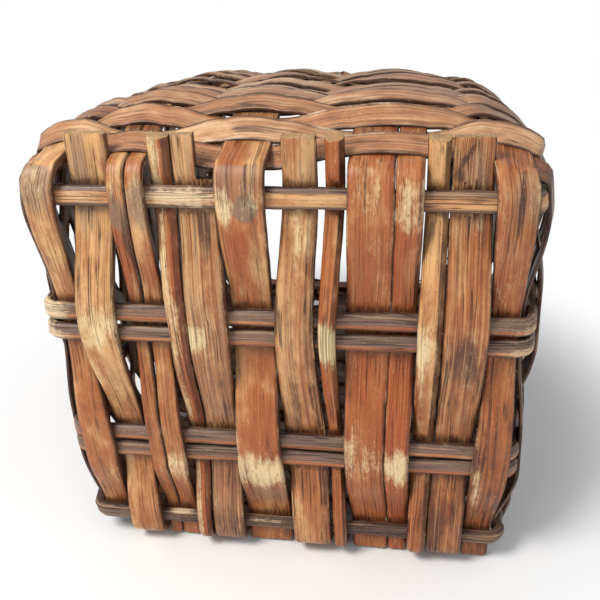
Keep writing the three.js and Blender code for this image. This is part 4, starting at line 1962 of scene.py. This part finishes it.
@dataclass
class CrossRods:
    """The six split rods that run across the base and turn back into the side walls."""

    plan: BasketPlan
    dressing: Dressing
    step: float = 0.004
    bend_steps: int = 8
    outline_points: int = 32
    first_seed: float = 40
    seed_step: float = 2.11
    relief: float = 0.0009
    waviness: float = 0.0016
    jag: float = 0.001

    def build(self) -> None:
        """Build and dress every rod."""
        rods = [(row, height) for row in ROWS for height in self.plan.rod_heights(row)]
        for number, (row, height) in enumerate(rods, start=1):
            face = ROD_FACES[row]
            skin = SplintSkin(
                name=f"split_rod_{number:02d}",
                outline=split_rod_outline(self.outline_points, face.middle, face.half),
                seed=number * self.seed_step + self.first_seed,
                look=face.look,
                patches=ROD_PATCHES,
                relief=self.relief,
                waviness=self.waviness,
                jag=self.jag,
            )
            sections = self._route(row, height)
            for section in sections:
                section.wide *= face.widening if section.in_base else 1.0
            self.dressing.hand_over(skin.build(sections), f"rod_{number:02d}", ROD_WOOD)

    def _leg(self, stake: Stake, height: float) -> list[Section]:
        """Return a rod's sections in a side wall, from the base to the mouth.

        Args:
            stake: The stake that its row makes there.
            height: The rod's height over the floor in the base.

        Returns:
            The sections.
        """
        count = round((self.plan.stake_end - BEND_RADIUS) / self.step)
        made = []
        for i in range(count + 1):
            at = stake.frame(mix(BEND_RADIUS, self.plan.stake_end, i / count))
            centre = at.place(stake.offset(height) * at.narrowing)
            across = at.round_wall * stake.side.direction
            made.append(Section(centre, across, at.away, ROD_WIDE, ROD_THICK))
        return made

    def _bend(self, first: Section, height: float, sign: int) -> list[Section]:
        """Return the bend from a side wall into the base.

        Args:
            first: The wall's section beside the base.
            height: The rod's height over the floor in the base.
            sign: -1 for the left wall, 1 for the right one.

        Returns:
            The sections, from the wall on.
        """
        made = []
        for i in range(1, self.bend_steps + 1):
            share = i / self.bend_steps
            angle = share * math.pi / 2
            x = first.centre.x - sign * BEND_RADIUS * (1 - math.cos(angle))
            y = BEND_RADIUS * (1 - math.sin(angle))
            centre = Vector((x, y, mix(first.centre.z, height, share)))
            outward = Vector((sign * math.cos(angle), -math.sin(angle), 0))
            across = first.across.lerp(UPWARDS, share).normalized()
            made.append(Section(centre, across, outward, ROD_WIDE, ROD_THICK, in_base=True))
        return made

    def _route(self, row: int, height: float) -> list[Section]:
        """Return a rod's sections from one end at the mouth to the other.

        Args:
            row: The rod's row.
            height: Its height over the floor in the base.

        Returns:
            The sections.
        """
        lefts = [stake for stake in self.plan.stakes if stake.side is WallSide.LEFT]
        rights = [stake for stake in self.plan.stakes if stake.side is WallSide.RIGHT]
        left_leg = self._leg(lefts[::-1][row], height)
        right_leg = self._leg(rights[row], height)
        left_bend = self._bend(left_leg[0], height, -1)
        right_bend = self._bend(right_leg[0], height, 1)
        start = left_bend[-1].centre.x
        end = right_bend[-1].centre.x
        count = round((end - start) / self.step)
        middles = [Vector((mix(start, end, i / count), 0, height)) for i in range(1, count)]
        straight = [
            Section(middle, UPWARDS, FORWARDS, ROD_WIDE, ROD_THICK, in_base=True) for middle in middles
        ]
        sections = [*left_leg[::-1], *left_bend, *straight, *right_bend[::-1], *right_leg]
        finish_ends(sections)
        return sections


@dataclass
class WallWeaving:
    """The narrow splints that run round the four walls, one strip a turn."""

    plan: BasketPlan
    dressing: Dressing
    spread: float = 0.0038
    swing: float = 0.0004
    arch: float = 0.0024
    late_arch: float = 0.0045
    lean: float = 0.25
    early_lean: float = 0.24
    early_spread: float = 0.003
    leaning_turns: float = 9.0
    # Painted shade with soiling near the floor, and painted shade on the side walls, the left one getting
    # only a share
    floor_shade_and_dirt: float = 0.7
    floor_shade_and_dirt_height: float = 0.07
    floor_shade_and_dirt_reach: float = 0.05
    side_shade: float = 0.75
    left_shade_share: float = 0.5
    outline: tuple[int, int] = (7, 4)
    first_seed: float = 80
    seed_step: float = 1.91
    relief: float = 0.0002
    middle_look: Look = Look(0.57, 0.3, 0.2, 0.45)
    look_range: Look = Look(0.6, -0.5, 0.3, 0.0)

    def build(self) -> None:
        """Build and dress every turn."""
        wide = self.plan.weaver_wide + self.spread
        for turn in range(self.plan.row_count):
            arch = mix(self.arch, self.late_arch, turn / self.plan.row_count)
            route = RingRoute(WEAVER_THICK, wide, follows_slope=True, swing=self.swing, arch=arch)
            skin = SplintSkin(
                name=f"woven_splint_{turn + 1:02d}",
                outline=flat_outline(*self.outline),
                seed=turn * self.seed_step + self.first_seed,
                look=self._look(turn),
                relief=self.relief,
            )
            sections = route.sections(self._visits(turn))
            self._roll(sections, turn)
            finish_ends(sections)
            self.dressing.hand_over(skin.build(sections), f"weaver_{turn + 1:02d}", WEAVER_WOOD)

    def _look(self, turn: int) -> Look:
        """Return a turn's look: a light strip is greyer and less red.

        Args:
            turn: Number of the turn.

        Returns:
            The look.
        """
        tone = TURN_TONE.at(turn, 1.0, 0.0)
        pairs = zip(astuple(self.middle_look), astuple(self.look_range))
        return Look(*(middle + reach * tone for middle, reach in pairs))

    def _roll(self, sections: list[Section], turn: int) -> None:
        """Lean a strip a little to and fro, darken it with painted shade at the sides, and with painted
        shade and soiling near the floor.

        Args:
            sections: The strip's sections.
            turn: Number of the turn.
        """
        for i, section in enumerate(sections):
            early = (1 - ease(turn / self.leaning_turns)) * max(0.0, section.outward.z)
            angle = self.lean * TURN_LEAN.at(i, turn, 0.0) + self.early_lean * early
            section.wide += self.early_spread * early
            turned = Matrix.Rotation(angle, 3, section.across.cross(section.outward))
            section.across = turned @ section.across
            section.outward = turned @ section.outward
            # Painted shade with soiling near the floor, and painted shade on the side walls, stronger on the
            # right
            below = ease((self.floor_shade_and_dirt_height - section.centre.z) / self.floor_shade_and_dirt_reach)
            sideways = section.outward.x
            shaded = sideways if sideways > 0 else -self.left_shade_share * sideways
            section.shade_and_dirt = max(self.floor_shade_and_dirt * below, self.side_shade * shaded)

    def _side(self, visit: int) -> int:
        """Return 1 where a visit passes outside its stake, else -1."""
        return 1 if visit % 2 == 1 else -1

    def _joint(self, turn: int) -> int:
        """Return the visit at which a turn ends, hidden behind a stake."""
        last = (turn + 1) * len(self.plan.stakes) - 1
        return last if self._side(last) < 0 else last - 1

    def _visits(self, turn: int) -> list[Visit]:
        """Return the stakes that one turn meets.

        Args:
            turn: Number of the turn.

        Returns:
            The meetings, in order.
        """
        plan = self.plan
        count = len(plan.stakes)
        start = 0 if turn == 0 else self._joint(turn - 1)
        end = (turn + 1) * count - plan.under_count if turn == plan.row_count - 1 else self._joint(turn)
        first_middle = plan.row_start + plan.weaver_wide / 2
        visits = []
        for visit in range(start, end + 1):
            stake = plan.stakes[visit % count]
            depth = first_middle + plan.row_pitch * (visit // count + stake.climb)
            part = "start" if visit == start else "end" if visit == end else "whole"
            visits.append(Visit(stake, depth, self._side(visit), part))
        return visits


@dataclass
class Rim:
    """The rim at the mouth: an outer and an inner hoop, lashed together."""

    plan: BasketPlan
    dressing: Dressing
    lash_wide: float = 0.005
    lash_thick: float = 0.0014
    lash_clearance: float = 0.0008
    lash_under_gap: float = 0.0011
    lash_step: float = 0.022
    lash_hold: int = 3
    lash_margin: int = 2
    round_radius: float = 0.003
    round_share: float = 0.4
    round_steps: tuple[float, ...] = (0.0, 0.33, 0.67, 1.0)
    hoop_outline: tuple[int, int] = (11, 6)
    hoop_seed: float = 130
    hoop_seed_step: float = 3.3
    hoop_look: Look = Look(0.4, 0.3, 0.2, 0.4)
    lash_outline: tuple[int, int] = (5, 4)
    lash_seed: float = 141.0
    lash_look: Look = Look(0.6, 0.2, 0.15, 0.3)
    lash_waviness: float = 0.0003
    lash_relief: float = 0.0001

    def build(self) -> None:
        """Build and dress both hoops and the lashing."""
        for number, (name, side) in enumerate((("outer", 1), ("inner", -1))):
            sections = self._hoop(side)
            finish_ends(sections)
            skin = SplintSkin(
                name=f"rim_{name}_band",
                outline=flat_outline(*self.hoop_outline),
                seed=self.hoop_seed + number * self.hoop_seed_step,
                look=self.hoop_look,
            )
            self.dressing.hand_over(skin.build(sections), f"rim_{name}_hoop", RIM_WOOD)
        skin = SplintSkin(
            name="rim_binding",
            outline=flat_outline(*self.lash_outline),
            seed=self.lash_seed,
            look=self.lash_look,
            relief=self.lash_relief,
            waviness=self.lash_waviness,
        )
        self.dressing.hand_over(skin.build(self._lashing()), "rim_lashing", WEAVER_WOOD)

    def _order(self) -> list[Stake]:
        """Return the stakes in the order that the hoops meet them."""
        stakes = self.plan.stakes
        return [*stakes[-2:], *stakes[:-1]]

    def _middle(self) -> float:
        """Return the depth of the rim's middle."""
        return self.plan.walls.mouth_depth - RIM_HEIGHT / 2

    def _hoop(self, side: int) -> list[Section]:
        """Return the sections of one hoop.

        Args:
            side: 1 for the outer hoop, -1 for the inner one.

        Returns:
            The sections, once round.
        """
        first, *others, final = self._order()
        visits = [Visit(first, self._middle(), side, "start")]
        visits += [Visit(stake, self._middle(), side) for stake in others]
        visits.append(Visit(final, self._middle(), side, "end"))
        return RingRoute(HOOP_THICK, RIM_HEIGHT).sections(visits)

    def _lashing(self) -> list[Section]:
        """Return the sections of the strip that is wound round both hoops.

        Returns:
            The sections, from its start to its end.
        """
        outer = self._hoop(1)
        inner = self._hoop(-1)
        places = self._places(outer)
        reach = HOOP_THICK / 2 + self.lash_clearance + self.lash_thick / 2
        low = self.plan.rim_start - self.lash_under_gap - self.lash_thick / 2
        high = self.plan.walls.mouth_depth + self.lash_clearance + self.lash_thick / 2
        corners: list[tuple[Vector, Vector]] = []

        def add(hoop: list[Section], place: float, sign: int, depth: float) -> None:
            """Add a corner of the winding beside one hoop.

            Args:
                hoop: The hoop's sections.
                place: Where along it, as a section number.
                sign: 1 outside the hoop, -1 inside it.
                depth: Distance from the base.
            """
            i = min(int(place), len(hoop) - 2)
            share = place - i
            point = hoop[i].centre.lerp(hoop[i + 1].centre, share)
            outward = hoop[i].outward.lerp(hoop[i + 1].outward, share).normalized()
            spot = point + outward * sign * reach
            corners.append((Vector((spot.x, depth, spot.z)), outward))

        for number, place in enumerate(places):
            add(inner, place, -1, high)
            add(inner, place, -1, low)
            add(outer, place, 1, low)
            if number == len(places) - 1:
                break
            following = places[number + 1]
            for i in range(math.ceil(place + 1), math.floor(following)):
                share = (i - place) / (following - place)
                if i % self.lash_hold == 0:
                    add(outer, i, 1, mix(low, high, share))
            add(outer, following, 1, high)
        return self._wind(corners)

    def _places(self, hoop: list[Section]) -> list[float]:
        """Return the places along the hoops, between the stakes, where the lashing goes through.

        Args:
            hoop: The outer hoop's sections.

        Returns:
            The places, as section numbers.
        """
        places: list[float] = []
        blocked = []
        for stake in self._order():
            at = stake.frame(self._middle())
            half = (stake.high - stake.low) / 2 * at.narrowing + EDGE_MARGIN + self.lash_wide / 2
            blocked.append((at.place(), half))
        travelled = self.lash_step
        for i in range(self.lash_margin, len(hoop) - self.lash_margin):
            travelled += (hoop[i].centre - hoop[i - 1].centre).length
            clear = all((hoop[i].centre - spot).length > half + HOOP_THICK for spot, half in blocked)
            if clear and travelled >= self.lash_step:
                places.append(float(i))
                travelled = 0.0
        return places

    def _wind(self, corners: list[tuple[Vector, Vector]]) -> list[Section]:
        """Return the sections of a strip through corners, each corner rounded.

        Args:
            corners: The corners, each with the direction out of the wall.

        Returns:
            The sections, from its start to its end.
        """
        points: list[tuple[Vector, Vector]] = []
        for i, (corner, outward) in enumerate(corners):
            if i in (0, len(corners) - 1):
                points.append((corner, outward))
                continue
            before = corners[i - 1][0] - corner
            after = corners[i + 1][0] - corner
            shorter = min(before.length, after.length)
            radius = min(self.round_radius, shorter * self.round_share)
            start = corner + before.normalized() * radius
            end = corner + after.normalized() * radius
            for share in self.round_steps:
                curve = start.lerp(corner, share).lerp(corner.lerp(end, share), share)
                points.append((curve, outward))
        made = []
        for i, (point, outward) in enumerate(points):
            after = points[min(i + 1, len(points) - 1)][0]
            before = points[max(i - 1, 0)][0]
            along = (after - before).normalized()
            ring = outward.cross(Vector((0, 1, 0)))
            across = (ring - along * ring.dot(along)).normalized()
            away = along.cross(across)
            made.append(Section(point, across, away, self.lash_wide, self.lash_thick))
        return made


@dataclass
class SoftLamp:
    """A large soft lamp that points at the basket."""

    name: str
    place: tuple[float, float, float]
    size: float
    watts: float
    colour: tuple[float, float, float] = (1.0, 1.0, 1.0)

    def build(self, target: Vector) -> None:
        """Add the lamp.

        Args:
            target: Where it points.
        """
        data = bpy.data.lights.new(self.name, "AREA")
        data.energy = self.watts
        data.size = self.size
        data.color = self.colour
        lamp = add_object(self.name, data)
        lamp.location = self.place
        lamp.rotation_euler = (target - lamp.location).to_track_quat("-Z", "Y").to_euler()


@dataclass
class Studio:
    """The pale floor, the white surroundings, the lamps and the camera."""

    floor_half: float = 6.0
    floor_fade: tuple[float, float] = (0.26, 0.48)
    floor_colour: Colour = (0.88, 0.88, 0.88, 1.0)
    floor_roughness: float = 0.9
    room_light: Colour = (0.5, 0.51, 0.53, 1.0)
    lens: float = 50.16
    camera_place: tuple[float, float, float] = (0.117, -0.8026, 0.5934)
    camera_right: tuple[float, float, float] = (0.9889, 0.1441, -0.0368)
    camera_up: tuple[float, float, float] = (-0.0362, 0.4731, 0.8803)
    camera_forward: tuple[float, float, float] = (-0.1443, 0.8692, -0.4730)
    lamp_target: tuple[float, float, float] = (0, -0.05, 0.2)
    lamps: tuple[SoftLamp, ...] = (
        SoftLamp("key_lamp", (-0.9, -1.1, 1.8), 0.7, 38.0, (1.0, 0.98, 0.94)),
        SoftLamp("fill_lamp", (1.5, -1.1, 1.0), 1.2, 4.0, (0.97, 0.98, 1.0)),
    )

    def build(self) -> None:
        """Build everything round the basket."""
        self._build_floor()
        self._build_room()
        for lamp in self.lamps:
            lamp.build(Vector(self.lamp_target))
        self._build_camera()
        bpy.context.scene.view_settings.view_transform = "Standard"

    def _build_floor(self) -> None:
        """Build the pale floor."""
        mesh = bmesh.new()
        bmesh.ops.create_grid(mesh, x_segments=1, y_segments=1, size=self.floor_half)
        data = bpy.data.meshes.new("floor")
        mesh.to_mesh(data)
        mesh.free()
        floor = add_object("floor", data)
        made = bpy.data.materials.new("pale_floor")
        made.use_nodes = True
        nodes = Nodes(made.node_tree)
        surface = made.node_tree.nodes["Principled BSDF"]
        surface.inputs["Base Color"].default_value = self.floor_colour
        surface.inputs["Roughness"].default_value = self.floor_roughness
        place = nodes.add("ShaderNodeTexCoord")
        far = nodes.add("ShaderNodeVectorMath", operation="LENGTH")
        nodes.put(far.inputs[0], place.outputs["Object"])
        fade = nodes.span(far.outputs["Value"], *self.floor_fade)
        path = nodes.add("ShaderNodeLightPath")
        glow = nodes.add("ShaderNodeEmission")
        blend = nodes.add("ShaderNodeMixShader")
        nodes.put(blend.inputs[0], nodes.math("MULTIPLY", fade, path.outputs["Is Camera Ray"]))
        nodes.put(blend.inputs[1], surface.outputs["BSDF"])
        nodes.put(blend.inputs[2], glow.outputs["Emission"])
        nodes.put(made.node_tree.nodes["Material Output"].inputs["Surface"], blend.outputs[0])
        data.materials.append(made)

    def _build_room(self) -> None:
        """Build the surroundings: white to the camera, softer as light."""
        world = bpy.data.worlds.new("room")
        world.use_nodes = True
        nodes = Nodes(world.node_tree)
        path = nodes.add("ShaderNodeLightPath")
        background = world.node_tree.nodes["Background"]
        seen = nodes.blend(path.outputs["Is Camera Ray"], self.room_light, (1.0, 1.0, 1.0, 1.0))
        nodes.put(background.inputs["Color"], seen)
        background.inputs["Strength"].default_value = 1.0
        bpy.context.scene.world = world

    def _build_camera(self) -> None:
        """Build the camera at the photo's place and angle."""
        data = bpy.data.cameras.new("camera")
        data.lens = self.lens
        camera = add_object("camera", data)
        rows = (Vector(self.camera_right), Vector(self.camera_up), -Vector(self.camera_forward))
        turned = Matrix(rows).transposed().to_4x4()
        turned.translation = Vector(self.camera_place)
        camera.matrix_world = turned
        bpy.context.scene.camera = camera


def main() -> None:
    """Build the basket and its studio in order."""
    logging.basicConfig(level=logging.INFO, format="%(name)s: %(message)s")
    plan = BasketPlan()
    dressing = Dressing()
    BaseStaves(plan, dressing).build()
    CrossRods(plan, dressing).build()
    WallWeaving(plan, dressing).build()
    Rim(plan, dressing).build()
    Studio().build()


if __name__ == "__main__":
    main()
